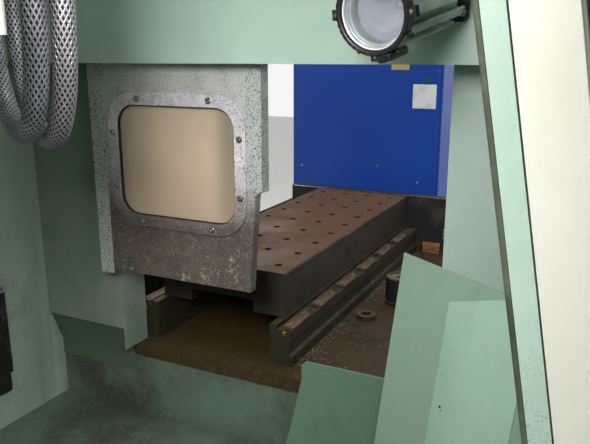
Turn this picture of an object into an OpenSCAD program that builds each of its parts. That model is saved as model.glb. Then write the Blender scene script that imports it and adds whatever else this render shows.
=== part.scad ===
// Vertical machining centre with a pallet station on its right side.
// X runs to the machine's right, Y to its back and Z up, in millimetres.
// The origin lies on the floor under the middle of the whole machine.

/* [Work area] */
// Place of the spindle axis across the machine
spindle_x = -720; // [-735:1:-705]
// Place of the spindle axis from front to back
spindle_y = -189; // [-195:1:-183]
// Clear width of the work area between the side walls
work_w = 1940; // [1920:2:1960]
// Thickness of the double skinned side walls
wall_t = 75; // [60:1:80]
// Inner face of the rear splash wall
back_y = 215; // [212:1:225]
// Thickness of the rear splash wall
back_t = 25; // [15:1:30]
// Height of the enclosure
enc_h = 2100; // [2060:5:2160]
// Underside of the enclosure's side skirts
skirt_z = 480; // [470:1:520]
// Height of the chip pan's floor
pan_z = 640; // [620:1:650]
// Thickness of the enclosure's sheet metal
sheet_t = 4; // [3:0.5:5]

/* [Front frame and doors] */
// Inner face of the slanted front at its lower edge
front_y = -946; // [-960:1:-940]
// Height of the slanted front's lower edge
front_z = 880; // [870:1:890]
// Angle by which the front leans back
slant = 10.3; // [9:0.1:12]
// Width of the door opening
opening_w = 1040; // [1000:2:1050]
// Length of the door opening up the slope
opening_len = 1090; // [1050:5:1120]
// Depth of the folded front frame
frame_t = 22; // [18:1:26]
// Thickness of a door leaf
door_t = 46; // [40:1:50]
// Running gap between the frame and a door leaf
door_gap = 2; // [1:0.5:3]
// Thickness of the trim strip on a door's closing edge
trim_t = 9; // [6:1:12]
// Length of a door leaf up the slope
door_len = 1150; // [1120:5:1160]
// Width of the window in a door leaf
door_win_w = 330; // [280:5:360]
// Length of the window in a door leaf
door_win_l = 620; // [560:5:680]

/* [Pallet opening] */
// Rear edge of the opening in the right side wall
jamb_rear_y = -15; // [-18:1:-12]
// Front edge of the opening in the right side wall
jamb_front_y = -715; // [-730:1:-705]
// Lower edge of the header over the opening
header_z = 1440; // [1430:1:1450]
// Lower edge of the right side wall behind the opening
wall_low_z = 860; // [855:1:862]
// Top of the sill plate in the front corner
sill_z = 879; // [870:1:885]
// Rear edge of the sill plate in the front corner
sill_rear_y = -455; // [-470:1:-445]
// Height of the sill plate
sill_h = 190; // [160:1:200]
// Depth of the header box in front of the side wall
header_d = 100; // [96:1:110]

/* [Lift shutter] */
// Width of the shutter
shutter_w = 378; // [374:1:379]
// Height of the shutter
shutter_h = 620; // [600:1:640]
// Thickness of the shutter
shutter_t = 20; // [16:1:22]
// Gap between the shutter and the top of the pallet
shutter_gap = 25; // [20:1:30]
// Width of the shutter's window
pane_w = 261; // [240:1:261]
// Height of the shutter's window
pane_h = 213; // [200:1:220]
// Width of the frame round the shutter's window
pane_frame_w = 24; // [20:1:24]
// Width of a guide channel's face
guide_w = 31; // [28:1:31]

/* [Pallet] */
// Length of the pallet
pallet_l = 900; // [860:1:910]
// Width of the pallet
pallet_w = 322; // [316:1:324]
// Thickness of the pallet
pallet_t = 100; // [90:1:104]
// Distance from the rails' front end to the pallet in the station
pallet_in = 45; // [40:1:55]
// Width of the two bearing feet along the pallet
foot_w = 79; // [70:1:85]
// Depth of the recess between the bearing feet
foot_d = 28; // [24:1:32]
// Pitch of the clamping holes along the pallet
hole_pitch_x = 100; // [90:1:104]
// Pitch of the clamping holes across the pallet
hole_pitch_y = 80; // [70:1:84]
// Diameter of a clamping hole
hole_d = 17.5; // [14:0.5:20]

/* [Guide rails] */
// Height of the pallet's underside over the floor
ride_z = 900; // [896:1:904]
// Distance between the two rails' centre lines
rail_gauge = 346; // [344:1:352]
// Width of a guide rail
rail_w = 52; // [48:1:56]
// Height of a guide rail
rail_h = 80; // [70:1:84]
// Thickness of the hardened wear strip
strip_t = 10; // [8:1:12]
// Length of a guide pad
pad_l = 92; // [80:1:100]
// Pitch of the guide pads
pad_pitch = 147; // [130:1:149]
// Width of a guide pad
pad_w = 27; // [22:1:28]

/* [Station] */
// Depth of the station's deck tray
deck_t = 30; // [24:1:34]
// Front edge of the deck tray
deck_front_y = -660; // [-680:1:-650]
// Rear edge of the deck tray
deck_rear_y = 120; // [110:1:140]
// Length of the rails in the station
station_l = 955; // [950:1:960]
// Height of the end plate over the deck
end_plate_h = 193; // [180:1:200]
// Diameter of the round stop post
post_d = 72; // [60:1:80]
// Height of the round stop post
post_h = 76; // [60:1:90]

/* [Blue cabinet] */
// Front face of the cabinet
cab_x0 = 1500; // [1490:1:1510]
// Depth of the cabinet
cab_d = 370; // [340:1:374]
// Width of the cabinet
cab_w = 581; // [560:1:590]
// Rear side of the cabinet
cab_y1 = 178; // [170:1:185]
// Height of the cabinet
cab_h = 1790; // [1700:5:1850]
// Thickness of the cabinet's door
cab_door_t = 22; // [18:1:24]

/* [Bed and column] */
// Width of the bed
bed_w = 920; // [880:5:940]
// Height of the bed's ways over the floor
bed_z = 560; // [555:1:565]
// Height of the bed's underside over the floor
foot_z = 60; // [50:1:70]
// Front face of the column
col_y = 330; // [326:1:340]
// Width of the column
col_w = 560; // [520:2:580]
// Height of the column's top
col_top = 2250; // [2200:5:2300]
// Width of a linear rail
lin_w = 35; // [30:1:36]
// Height of a linear rail
lin_h = 32; // [28:1:34]

/* [Saddle and table] */
// Length of the saddle
saddle_l = 1100; // [1060:5:1110]
// Width of the saddle from front to back
saddle_w = 580; // [560:5:590]
// Thickness of the saddle
saddle_t = 92; // [85:1:96]
// Length of the table
table_l = 900; // [880:5:920]
// Width of the table
table_w = 425; // [420:1:440]

/* [Head] */
// Width of the head cover
cover_w = 640; // [600:2:644]
// Front face of the head cover
cover_front_y = -498; // [-505:1:-490]
// Lower edge of the head cover
cover_z = 1468; // [1460:1:1475]
// Height of the head cover
cover_h = 782; // [760:1:800]
// Diameter of the spindle shaft
shaft_d = 88; // [80:1:92]
// Length of the spindle nose below the head cover
nose_len = 90; // [80:1:100]

/* [Tool magazine] */
// Number of tool pots
pots = 16; // [12:1:16]
// Diameter of the magazine disc
disc_d = 560; // [540:5:570]
// Height of the magazine disc
disc_z = 1700; // [1660:5:1740]

/* [Work lamp] */
// Diameter of the lamp's front ring
lamp_d = 98; // [90:1:104]
// Length of the lamp's body
lamp_l = 168; // [150:1:172]
// Number of cooling fins round the body
lamp_fins = 12; // [8:1:14]

/* [Hoses] */
// Outer diameter of the braided hoses
hose_d = 27; // [24:1:28]

/* [Control panel] */
// Width of the control panel
panel_w = 400; // [360:5:420]
// Height of the control panel
panel_h = 560; // [500:5:600]
// Depth of the control panel
panel_d = 110; // [90:1:120]

/* [Hidden] */
$fn = 48;

// Clearance between pieces that slide past each other
run_gap = 0.3;
// Radial clearance of a shaft in its bearing
fit_gap = 0.05;

// Faces of the enclosure
wall_r = spindle_x + work_w / 2;
wall_l = spindle_x - work_w / 2;
out_r = wall_r + wall_t;
out_l = wall_l - wall_t;
back_out_y = back_y + back_t;
skirt_t = wall_t - 40;
valley_z = 400;
open_x0 = spindle_x - opening_w / 2;
open_x1 = spindle_x + opening_w / 2;
frame_len = (enc_h - front_z) / cos(slant);
// Place in depth of the slanted front's inner face at a height
function front_at(z) = front_y + (z - front_z) * tan(slant);

// Heights and places of the pallet, its rails and the deck
rail_top = ride_z - strip_t;
deck_top = rail_top - rail_h;
deck_bot = deck_top - deck_t;
pallet_top = ride_z + pallet_t;
pallet_y0 = spindle_y - pallet_w / 2;
pallet_y1 = spindle_y + pallet_w / 2;
rail_in = rail_gauge / 2 - rail_w / 2;
rail_out = rail_gauge / 2 + rail_w / 2;
strip_out = pallet_w / 2 + 3;
station_x0 = out_r + 10;
station_x1 = station_x0 + station_l;
deck_x1 = station_x1 + 15;
pallet_x0 = station_x0 + pallet_in;
pallet_x1 = pallet_x0 + pallet_l;
pallet_cx = pallet_x0 + pallet_l / 2;
post_at = [station_x0 + 465, -480, deck_top];
collar_at = [station_x0 + 326, -438, deck_top];
hole_rows = 4;
hole_cols = 9;
hole_depth = 45;
pads = 6;
pad_t = 8;
screw_d = 13;
screw_h = 5;

// Places of the lift shutter and its guides
channel_t = 3;
slide_gap = 0.3;
shutter_x0 = wall_r - 60;
shutter_x1 = shutter_x0 + shutter_t;
shutter_y1 = jamb_rear_y - 4.5 - channel_t;
shutter_y0 = shutter_y1 - shutter_w;
shutter_z0 = pallet_top + shutter_gap;
shutter_z1 = shutter_z0 + shutter_h;
guide_rear_y = shutter_y1 + slide_gap;
guide_front_y = shutter_y0 - slide_gap;
guide_low_z = shutter_z0 + 192;
pane_y = shutter_y1 - 195;
pane_z = shutter_z0 + 231.5;
pane_r = 38;
header_x0 = wall_r - header_d;

// Places of the bed, saddle, table and head
bed_y0 = -760;
bed_y1 = 850;
bed_r = spindle_x + bed_w / 2;
way_x = 230;
way_y = 170;
saddle_z = bed_z + lin_h + 8;
saddle_top = saddle_z + saddle_t;
saddle_y0 = spindle_y - saddle_w / 2;
saddle_y1 = spindle_y + saddle_w / 2;
cover_y1 = saddle_y0 - 141;
table_z = saddle_top + lin_h + 8;
table_top = deck_top - run_gap;
table_x0 = spindle_x - table_l / 2;
table_x1 = spindle_x + table_l / 2;
cover_t = 3;
head_z = cover_z + cover_t;
z_way_x = 190;
nose_z = cover_z - nose_len;
holder_d = 63;
mag_x = wall_l + 65 + disc_d / 2;
mag_y = back_y - 35 - disc_d / 2;
pot_r = disc_d / 2 - 28;
neck_r = 22;

// Places of the lamp: its pivot, and how far it points down and to the back
lamp_pivot = [header_x0 - 20, -718, 1538];
lamp_down = 12;
lamp_turn = 11;
neck_l = 22;

// Places of the leaning loose covers
lean_top = [wall_r - 15, -652, 1128];
lean_turn = -125.5;
lean = 8;
loose_t = 2.5;
loose_h = (lean_top[2] - pan_z - 0.2 - loose_t * sin(lean)) / cos(lean);

// Places of the blue cabinet, the rear cabinet and the control panel
cab_x1 = cab_x0 + cab_d;
cab_y0 = cab_y1 - cab_w;
cab_z0 = 60;
cab_z1 = cab_z0 + cab_h;
latch_y = cab_y0 + 60;
latch_z = 1050;
elec_x0 = -1300;
elec_x1 = -140;
elec_y1 = bed_y1 + 161.1;
elec_z0 = 250;
elec_z1 = 2050;
elec_door_t = 22;
arm_x = out_r + 75;
arm_y = -790;
panel_x0 = arm_x + 60;
panel_z0 = 1050;
arm_heights = [panel_z0 - 70, panel_z0 + 430];
button_x = panel_x0 + panel_w - 60;
knob_x = panel_x0 + 70;
control_z = panel_z0 + 90;

// Radius of the cabinets' hinges, and how far their axis lies outside the cabinet
hinge_r = 6.5;
hinge_off = 7;
cab_hinges = [cab_z0 + 200, (cab_z0 + cab_z1) / 2 - 45, cab_z1 - 290];
elec_hinges = [elec_z0 + 200, (elec_z0 + elec_z1) / 2 - 45, elec_z1 - 290];

// Height of the cable duct and the hose glands under it
duct_z = 1960;
duct_h = 60;
gland_h = 35;
gland_d = 44;
hose_top = duct_z - gland_h;
hose_a = [
    [-290, -405, 1925], [-290, -405, 1860], [-290, -405, 1790], [-290, -405, 1720],
    [-290, -405, 1650], [-290, -405, 1580], [-289, -403, 1520], [-286, -398, 1470],
    [-278, -385, 1425], [-264, -362, 1390], [-244, -330, 1368], [-222, -294, 1360],
    [-200, -257, 1364], [-178, -221, 1380], [-161, -193, 1406], [-149, -173, 1444],
    [-142, -161, 1490], [-140, -158, 1545], [-140, -158, 1610], [-140, -158, 1680],
    [-140, -158, 1750], [-140, -158, 1820], [-140, -158, 1880], [-140, -158, 1925]
];
hose_step = [32, -8, 0];
hose_drop = 10;
hose_b = [for (p = hose_a) p + hose_step - [0, 0, p[2] < 1600 ? hose_drop : 0]];

// A box between two opposite corners
module span(a, b) {
    translate(a)
        cube(b - a);
}

// A flat drawing in X and Z carried from y0 back to y1
module across(y0, y1) {
    translate([0, y1, 0])
        rotate([90, 0, 0])
            linear_extrude(y1 - y0)
                children();
}

// A flat drawing in Y and Z carried from x0 to x1
module along(x0, x1) {
    translate([x0, 0, 0])
        rotate([90, 0, 90])
            linear_extrude(x1 - x0)
                children();
}

// Puts its children on the slanted front, with Y into the machine and Z up the slope
module on_front() {
    translate([0, front_y, front_z])
        rotate([-slant, 0, 0])
            children();
}

// A rectangle with round corners about its centre
module rounded(w, h, r) {
    square([w - 2 * r, h], center = true);
    square([w, h - 2 * r], center = true);
    for (x = [-1, 1], y = [-1, 1])
        translate([x * (w / 2 - r), y * (h / 2 - r)])
            circle(r);
}

// Unit vectors along and across a route of points at each point
function unit(v) = v / norm(v);
function way(p, i) = unit(p[min(i + 1, len(p) - 1)] - p[max(i - 1, 0)]);
function side_of(t) = unit(cross(t, [247, -150, 0]));
function ring(p, i, r, n) = [
    for (k = [0:n - 1])
        let (t = way(p, i), u = side_of(t), v = cross(t, u), a = 360 * k / n)
            p[i] + r * cos(a) * u + r * sin(a) * v
];

// A round tube swept along a route of points
module sweep(p, r, n = 10) {
    m = len(p);
    points = [for (i = [0:m - 1]) each ring(p, i, r, n)];
    sides = [
        for (i = [0:m - 2], k = [0:n - 1])
            let (a = i * n + k, b = i * n + (k + 1) % n)
                each [[a, b + n, b], [a, a + n, b + n]]
    ];
    ends = [
        [for (k = [0:n - 1]) k],
        [for (k = [n - 1:-1:0]) (m - 1) * n + k]
    ];
    polyhedron(points, concat(sides, ends), convexity = 6);
}

// A linear rail drawn along Y or X by its caller
module lin_profile() {
    polygon([
        [-lin_w / 2, 0], [lin_w / 2, 0], [lin_w / 2, lin_h * 0.3],
        [lin_w / 2 - 4, lin_h * 0.45], [lin_w / 2 - 4, lin_h * 0.65],
        [lin_w / 2, lin_h * 0.8], [lin_w / 2, lin_h], [-lin_w / 2, lin_h],
        [-lin_w / 2, lin_h * 0.8], [-lin_w / 2 + 4, lin_h * 0.65],
        [-lin_w / 2 + 4, lin_h * 0.45], [-lin_w / 2, lin_h * 0.3]
    ]);
}

// A carriage block that rides on a linear rail, seen along the rail
module block_profile(top) {
    difference() {
        translate([-lin_w / 2 - 22, lin_h * 0.3 + 2])
            square([lin_w + 44, top - lin_h * 0.3 - 2]);
        translate([-lin_w / 2 - run_gap, -1])
            square([lin_w + 2 * run_gap, lin_h + 1 + run_gap]);
    }
}

// Pin, outer knuckles and leaves of a cabinet hinge, with Y out of the cabinet's side
module hinge_fixed() {
    translate([0, hinge_off, 0])
        cylinder(h = 90, r = 3);
    for (z = [0, 60])
        translate([0, 0, z]) {
            translate([0, hinge_off, 0])
                cylinder(h = 30, r = hinge_r);
            translate([-20, 0, 0])
                cube([19, 4, 30]);
        }
}

// Middle knuckle of a cabinet hinge, which turns on the pin, with its leaf
module hinge_moving() {
    h = 30 - 2 * run_gap;
    translate([0, 0, 30 + run_gap])
        difference() {
            union() {
                translate([0, hinge_off, 0])
                    cylinder(h = h, r = hinge_r);
                translate([1.2, 0, 0])
                    cube([18, 4, h]);
            }
            translate([0, hinge_off, -1])
                cylinder(h = h + 2, r = 3 + fit_gap);
        }
}

// Bed casting with its slides, pockets and the front feed motor
module bed() {
    half = bed_w / 2;
    color("darkseagreen")
        difference() {
            across(bed_y0, bed_y1)
                translate([spindle_x, 0])
                    polygon([
                        [-half, foot_z], [half, foot_z], [half, valley_z], [330, bed_z - 40],
                        [330, bed_z], [-330, bed_z], [-330, bed_z - 40], [-half, valley_z]
                    ]);
            for (side = [-1, 1], i = [0:3])
                translate([spindle_x + side * half, bed_y0 + 200 + i * 390, foot_z + 160])
                    cube([160, 260, 170], center = true);
            across(bed_y0 - 1, bed_y1 + 1)
                translate([spindle_x, foot_z])
                    polygon([[-260, -1], [260, -1], [200, 330], [-200, 330]]);
        }
    color("silver")
        for (side = [-1, 1])
            across(bed_y0 + 20, 230)
                translate([spindle_x + side * way_x, bed_z])
                    lin_profile();
    color("dimgray")
        translate([spindle_x, bed_y0, valley_z + 50]) {
            across(-110, 0)
                rounded(110, 110, 12);
            across(-150, -110)
                circle(d = 70);
        }
}

// Levelling feet under the bed
module leveling_feet() {
    color("dimgray")
        for (x = [-1, 1], y = [bed_y0 + 70, (bed_y0 + bed_y1) / 2, bed_y1 - 70])
            translate([spindle_x + x * (bed_w / 2 - 70), y, 0]) {
                cylinder(h = 16, d = 110);
                translate([0, 0, 16])
                    cylinder(h = foot_z - 16 - 14, d = 30);
                translate([0, 0, foot_z - 14])
                    cylinder(h = 14, d = 54, $fn = 6);
            }
}

// Column casting with its slides and the upright feed motor
module column() {
    back = bed_y1;
    color("darkseagreen")
        difference() {
            along(spindle_x - col_w / 2, spindle_x + col_w / 2)
                polygon([
                    [col_y, bed_z], [back, bed_z], [back, 900],
                    [back - 150, col_top], [col_y, col_top]
                ]);
            for (side = [-1, 1], i = [0:2])
                translate([spindle_x + side * col_w / 2, col_y + 190, bed_z + 330 + i * 430])
                    rotate([0, 90, 0])
                        cylinder(h = 90, d = 150, center = true);
        }
    color("silver")
        for (side = [-1, 1])
            translate([spindle_x + side * z_way_x, col_y, bed_z + 340])
                linear_extrude(col_top - bed_z - 350)
                    rotate(180)
                        lin_profile();
    color("dimgray")
        translate([spindle_x, col_y + 110, col_top]) {
            linear_extrude(40)
                rounded(180, 180, 16);
            translate([0, 0, 40])
                linear_extrude(190)
                    rounded(140, 140, 20);
        }
}

// Chip pans on both sides of the bed and the fixed front way cover
module chip_pans() {
    lip_x = out_r - skirt_t;
    color("darkslategray") {
        for (side = [0, 1])
            translate([spindle_x, 0, 0])
                mirror([side, 0, 0])
                    across(front_y, back_y)
                        translate([-spindle_x, 0])
                            polygon([
                                [lip_x - sheet_t, deck_bot], [lip_x, deck_bot],
                                [lip_x, pan_z - sheet_t], [-2, pan_z - sheet_t],
                                [bed_r + sheet_t, valley_z - 2], [bed_r + sheet_t, valley_z - 60],
                                [bed_r, valley_z - 60], [bed_r, valley_z + 2], [0, pan_z],
                                [lip_x - sheet_t, pan_z]
                            ]);
        way_cover(front_y, cover_y1 - 130, 2);
    }
}

// A roof shaped way cover from y0 to y1, nested under the one before it
module way_cover(y0, y1, level) {
    top = saddle_top - 2 - level * (sheet_t + run_gap);
    roof = [[-450, -90], [-380, 0], [380, 0], [450, -90]];
    across(y0, y1)
        translate([spindle_x, top])
            polygon(concat(roof, [for (i = [3:-1:0]) roof[i] - [0, sheet_t]]));
}

// Skirts at both sides and the apron under the doors
module lower_panels() {
    color("mediumseagreen") {
        span([out_r - skirt_t, front_y, skirt_z], [out_r, back_out_y, deck_bot]);
        span([out_l, front_y, skirt_z], [out_l + skirt_t, back_out_y, deck_bot]);
        along(out_l, out_r)
            polygon([
                [front_y - frame_t, skirt_z], [front_y, skirt_z], [front_y, front_z],
                [front_y - frame_t * cos(slant), front_z + frame_t * sin(slant)],
                [front_y - frame_t, front_z + frame_t * sin(slant) - 2]
            ]);
    }
}

// Posts and header round the door opening, and the two door tracks
module front_frame() {
    track_d = 60;
    on_front() {
        color("mediumaquamarine") {
            span([open_x1, -frame_t, 0], [out_r, 0, frame_len]);
            span([out_l, -frame_t, 0], [open_x0, 0, frame_len]);
            span([open_x0, -frame_t, opening_len], [open_x1, 0, frame_len]);
        }
        color("gainsboro") {
            along(out_l, out_r)
                polygon([
                    [-frame_t, -2], [-frame_t - track_d, -2], [-frame_t - track_d, -36],
                    [-frame_t - track_d + 4, -36], [-frame_t - track_d + 4, -8],
                    [-frame_t - 4, -8], [-frame_t - 4, -30], [-frame_t, -30]
                ]);
            along(out_l, out_r)
                polygon([
                    [-frame_t, door_len + 14], [-frame_t - track_d, door_len + 14],
                    [-frame_t - track_d, door_len + 44], [-frame_t, door_len + 44]
                ]);
        }
    }
}

// Right side wall with the pallet opening: rear panel, front panel and the part above
// Behind the opening its outer skin and its folded front edge reach down to the deck
module wall_right() {
    color("mediumaquamarine") {
        span([wall_r, jamb_rear_y, wall_low_z], [out_r, back_out_y, header_z]);
        translate([0, 0, deck_top])
            linear_extrude(wall_low_z - deck_top)
                union() {
                    translate([out_r - sheet_t, jamb_rear_y])
                        square([sheet_t, back_out_y - jamb_rear_y]);
                    translate([wall_r, jamb_rear_y])
                        square([wall_t, sheet_t]);
                }
        span([out_r - sheet_t, deck_rear_y, deck_bot], [out_r, back_out_y, deck_top]);
        along(wall_r, out_r)
            polygon([
                [jamb_front_y, deck_bot], [jamb_front_y, header_z],
                [front_at(header_z), header_z], [front_at(front_z), front_z],
                [front_y, deck_bot]
            ]);
        along(wall_r, out_r)
            polygon([
                [back_out_y, header_z], [back_out_y, enc_h],
                [front_at(enc_h), enc_h], [front_at(header_z), header_z]
            ]);
    }
}

// Folded header that hides the raised shutter and carries the lamp
module header_box() {
    color("mediumaquamarine")
        union() {
            along(header_x0, header_x0 + channel_t)
                polygon([
                    [back_y, header_z], [back_y, enc_h],
                    [front_at(enc_h), enc_h], [front_at(header_z), header_z]
                ]);
            along(header_x0, header_x0 + 28)
                polygon([
                    [back_y, header_z], [back_y, header_z + channel_t],
                    [front_at(header_z + channel_t), header_z + channel_t],
                    [front_at(header_z), header_z]
                ]);
            along(header_x0, wall_r)
                polygon([
                    [back_y, enc_h - channel_t], [back_y, enc_h],
                    [front_at(enc_h), enc_h], [front_at(enc_h - channel_t), enc_h - channel_t]
                ]);
        }
}

// Low plate that closes the front corner under the opening
module sill_plate() {
    low = sill_z - sill_h;
    color("seagreen")
        along(wall_r - 6, wall_r)
            polygon([
                [front_y, low], [front_y, sill_z], [sill_rear_y - 8, sill_z],
                [sill_rear_y, sill_z - 8], [sill_rear_y, sill_z - 38],
                [sill_rear_y + 26, sill_z - 158], [sill_rear_y + 36, low]
            ]);
}

// Left side wall
module wall_left() {
    color("mediumaquamarine")
        along(out_l, wall_l)
            polygon([
                [back_out_y, deck_bot], [back_out_y, enc_h], [front_at(enc_h), enc_h],
                [front_at(front_z), front_z], [front_y, deck_bot]
            ]);
}

// Rear splash walls beside and under the head
module back_walls() {
    head_gap = 330;
    base = valley_z - 60;
    color("mediumseagreen") {
        for (side = [0, 1])
            translate([spindle_x, 0, 0])
                mirror([side, 0, 0])
                    across(back_y, back_out_y)
                        polygon([
                            [head_gap, enc_h], [work_w / 2, enc_h], [work_w / 2, base],
                            [bed_w / 2, base], [bed_w / 2, valley_z], [head_gap, bed_z - 40]
                        ]);
        span([spindle_x - head_gap, back_y, saddle_top + 10],
             [spindle_x + head_gap, back_out_y, 1100]);
    }
}

// Channels in which the shutter runs, with the feet that hold them to the wall
module shutter_guides() {
    lip = guide_w - channel_t;
    x0 = shutter_x0 - slide_gap - channel_t;
    x1 = shutter_x1 + slide_gap + channel_t;
    top = enc_h - channel_t;
    color("mediumaquamarine") {
        translate([0, 0, shutter_z0 - 8])
            linear_extrude(top - shutter_z0 + 8)
                union() {
                    translate([x0, guide_rear_y])
                        square([wall_r - x0, channel_t]);
                    translate([x0, guide_rear_y - lip])
                        square([channel_t, lip + 1]);
                    translate([x1 - channel_t, guide_rear_y - lip])
                        square([channel_t, lip + 1]);
                    translate([wall_r - channel_t, guide_rear_y])
                        square([channel_t, 36]);
                }
        union() {
            translate([0, 0, guide_low_z])
                linear_extrude(top - guide_low_z)
                    union() {
                        translate([x0, guide_front_y - channel_t])
                            square([x1 - x0, channel_t]);
                        translate([x0, guide_front_y - 1])
                            square([channel_t, lip + 1]);
                        translate([x1 - channel_t, guide_front_y - 1])
                            square([channel_t, lip + 1]);
                    }
            translate([0, 0, header_z + 20])
                linear_extrude(top - header_z - 20)
                    union() {
                        translate([x0 + 1, guide_front_y - channel_t])
                            square([wall_r - x0 - 1, channel_t]);
                        translate([wall_r - channel_t, guide_front_y - 36])
                            square([channel_t, 36]);
                    }
        }
    }
}

// Puts its children on the leaning plane of the loose covers
module leaning() {
    translate(lean_top)
        rotate([0, 0, lean_turn])
            rotate([-lean, 0, 0])
                children();
}

// A flat plate in the leaning plane, drawn by its corners
module leaning_plate(corners, front) {
    leaning()
        translate([0, front + loose_t, 0])
            rotate([90, 0, 0])
                linear_extrude(loose_t)
                    polygon(corners);
}

// Wide loose cover plate that leans in the front corner
module loose_cover_wide() {
    color("cadetblue")
        leaning_plate([[0, 0], [303, 0], [303, -loose_h], [0, -loose_h]], 0);
}

// Narrow loose cover plate that leans on the wide one
module loose_cover_narrow() {
    color("mediumaquamarine")
        leaning_plate([
            [123, -49], [238, -7], [279, -115], [245, -240],
            [245, -loose_h - 0.1], [123, -loose_h - 0.1]
        ], -loose_t - run_gap);
}

// Cable duct under the roof edge with the four hose glands
module cable_duct() {
    color("silver")
        along(-345, -75)
            polygon([
                [front_at(duct_z), duct_z], [back_y, duct_z],
                [back_y, duct_z + duct_h], [front_at(duct_z + duct_h), duct_z + duct_h]
            ]);
    color("gold")
        for (p = [hose_a[0], hose_a[len(hose_a) - 1], hose_b[0], hose_b[len(hose_b) - 1]])
            translate([p[0], p[1], hose_top]) {
                cylinder(h = gland_h - 14, d = hose_d + 3);
                translate([0, 0, gland_h - 14])
                    cylinder(h = 14, d = hose_d + 5, $fn = 6);
            }
}

// Braided hose that hangs in a loop under the duct
module hose_front() {
    color("lightslategray")
        sweep(hose_a, hose_d / 2);
}

// Second braided hose behind the first
module hose_rear() {
    color("slategray")
        sweep(hose_b, hose_d / 2);
}

// Clevis on the header in which the lamp tilts
module lamp_bracket() {
    p = lamp_pivot;
    base = header_x0 - 6;
    color("black") {
        translate([base, p[1], p[2]])
            rotate([0, 90, 0])
                linear_extrude(6)
                    rounded(80, 74, 8);
        for (side = [-1, 1])
            difference() {
                across(p[1] + side * 17 - 3.5, p[1] + side * 17 + 3.5)
                    union() {
                        translate([p[0], p[2]])
                            circle(r = 13);
                        translate([p[0], p[2] - 13])
                            square([base - p[0] + 1, 26]);
                    }
                across(p[1] + side * 17 - 4, p[1] + side * 17 + 4)
                    translate([p[0], p[2]])
                        circle(r = 5);
            }
        across(p[1] - 24, p[1] + 24)
            translate([p[0], p[2]])
                circle(r = 5);
    }
}

// Arm and drive that carry the tool magazine
module magazine_bracket() {
    shaft_r = 20;
    z = disc_z + 180;
    color("dimgray") {
        difference() {
            union() {
                span([mag_x - 60, back_y - 24, z - 30], [mag_x + 60, back_y, z + 170]);
                span([mag_x - 50, mag_y - 60, z], [mag_x + 50, back_y - 20, z + 60]);
                along(mag_x - 8, mag_x + 8)
                    polygon([
                        [back_y - 150, z + 59], [back_y - 23, z + 59], [back_y - 23, z + 165]
                    ]);
            }
            translate([mag_x, mag_y, z - 1])
                cylinder(h = 41, r = shaft_r + fit_gap);
        }
        translate([mag_x, mag_y, z + 60])
            cylinder(h = 130, d = 96);
    }
}

// Bearing arms on the side wall that carry the control panel's upright
module panel_arm() {
    color("gainsboro")
        for (z = arm_heights)
            difference() {
                union() {
                    span([out_r, arm_y - 22, z - 20], [arm_x, arm_y + 22, z + 20]);
                    span([out_r, arm_y - 22, z - 50], [out_r + 8, arm_y + 22, z + 50]);
                    translate([arm_x, arm_y, z - 20])
                        cylinder(h = 40, r = 38);
                }
                translate([arm_x, arm_y, z - 21])
                    cylinder(h = 42, r = 24 + fit_gap);
            }
}

// Floor bars and pedestal under the pallet station
module station_base() {
    x0 = out_r + 20;
    y0 = deck_front_y + 40;
    y1 = deck_rear_y - 30;
    bar = 60;
    color("dimgray")
        for (y = [spindle_y - 190, spindle_y + 210])
            span([x0, y, 0], [cab_x1, y + bar, bar]);
    color("seagreen")
        difference() {
            span([x0, y0, bar], [station_x1, y1, deck_bot]);
            span([x0 + 60, y0 + 60, bar - 1], [station_x1 - 60, y1 - 60, deck_bot - 60]);
            for (i = [0, 1]) {
                span([x0 + 60 + i * 440, y0 - 1, 180], [x0 + 440 + i * 440, y0 + 8, 660]);
                span([x0 + 60 + i * 440, y1 - 8, 180], [x0 + 440 + i * 440, y1 + 1, 660]);
            }
            span([station_x1 - 8, y0 + 80, 180], [station_x1 + 1, y1 - 80, 660]);
        }
}

// Deck tray of the station, with a raised lip at its free edges
module station_deck() {
    lip = 14;
    color("saddlebrown")
        difference() {
            span([out_r - skirt_t, deck_front_y, deck_bot], [deck_x1, deck_rear_y, deck_top]);
            span([out_r - skirt_t - 1, deck_front_y - 1, deck_bot - 1],
                 [out_r, jamb_front_y + 60, deck_top + 1]);
        }
    color("saddlebrown") {
        span([out_r, deck_front_y, deck_top], [deck_x1, deck_front_y + 3, deck_top + lip]);
        span([out_r, deck_rear_y - 3, deck_top], [deck_x1, deck_rear_y, deck_top + lip]);
        span([deck_x1 - 3, deck_front_y + 3, deck_top],
             [deck_x1, deck_rear_y - 3, deck_top + lip]);
    }
}

// Pair of rails with their hardened wear strips, from x0 to x1
module rail_pair(x0, x1) {
    for (side = [0, 1])
        translate([x0, spindle_y, 0])
            mirror([0, side, 0])
                along(0, x1 - x0)
                    polygon([
                        [rail_in, deck_top], [rail_out, deck_top], [rail_out, deck_top + 22],
                        [rail_out - 6, deck_top + 28], [rail_out - 6, rail_top - 26],
                        [rail_out, rail_top - 20], [rail_out, rail_top], [strip_out, rail_top],
                        [strip_out, ride_z], [rail_in, ride_z]
                    ]);
}

// Rails of the station on which the pallet runs
module station_rails() {
    color("darkolivegreen")
        rail_pair(station_x0, station_x1);
}

// Guide pads beside the pallet on the station's rails, with their screws
module guide_pads() {
    for (side = [0, 1], i = [0:pads - 1])
        translate([station_x0 + 6 + i * pad_pitch, spindle_y, rail_top])
            mirror([0, side, 0]) {
                y0 = rail_out - pad_w + 1.5;
                color("rosybrown")
                    span([0, y0, 0], [pad_l, rail_out + 1.5, pad_t]);
                color("silver")
                    for (x = [9, pad_l - 9])
                        translate([x, y0 + pad_w / 2, pad_t])
                            cylinder(h = screw_h, d = screw_d, $fn = 24);
            }
}

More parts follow.
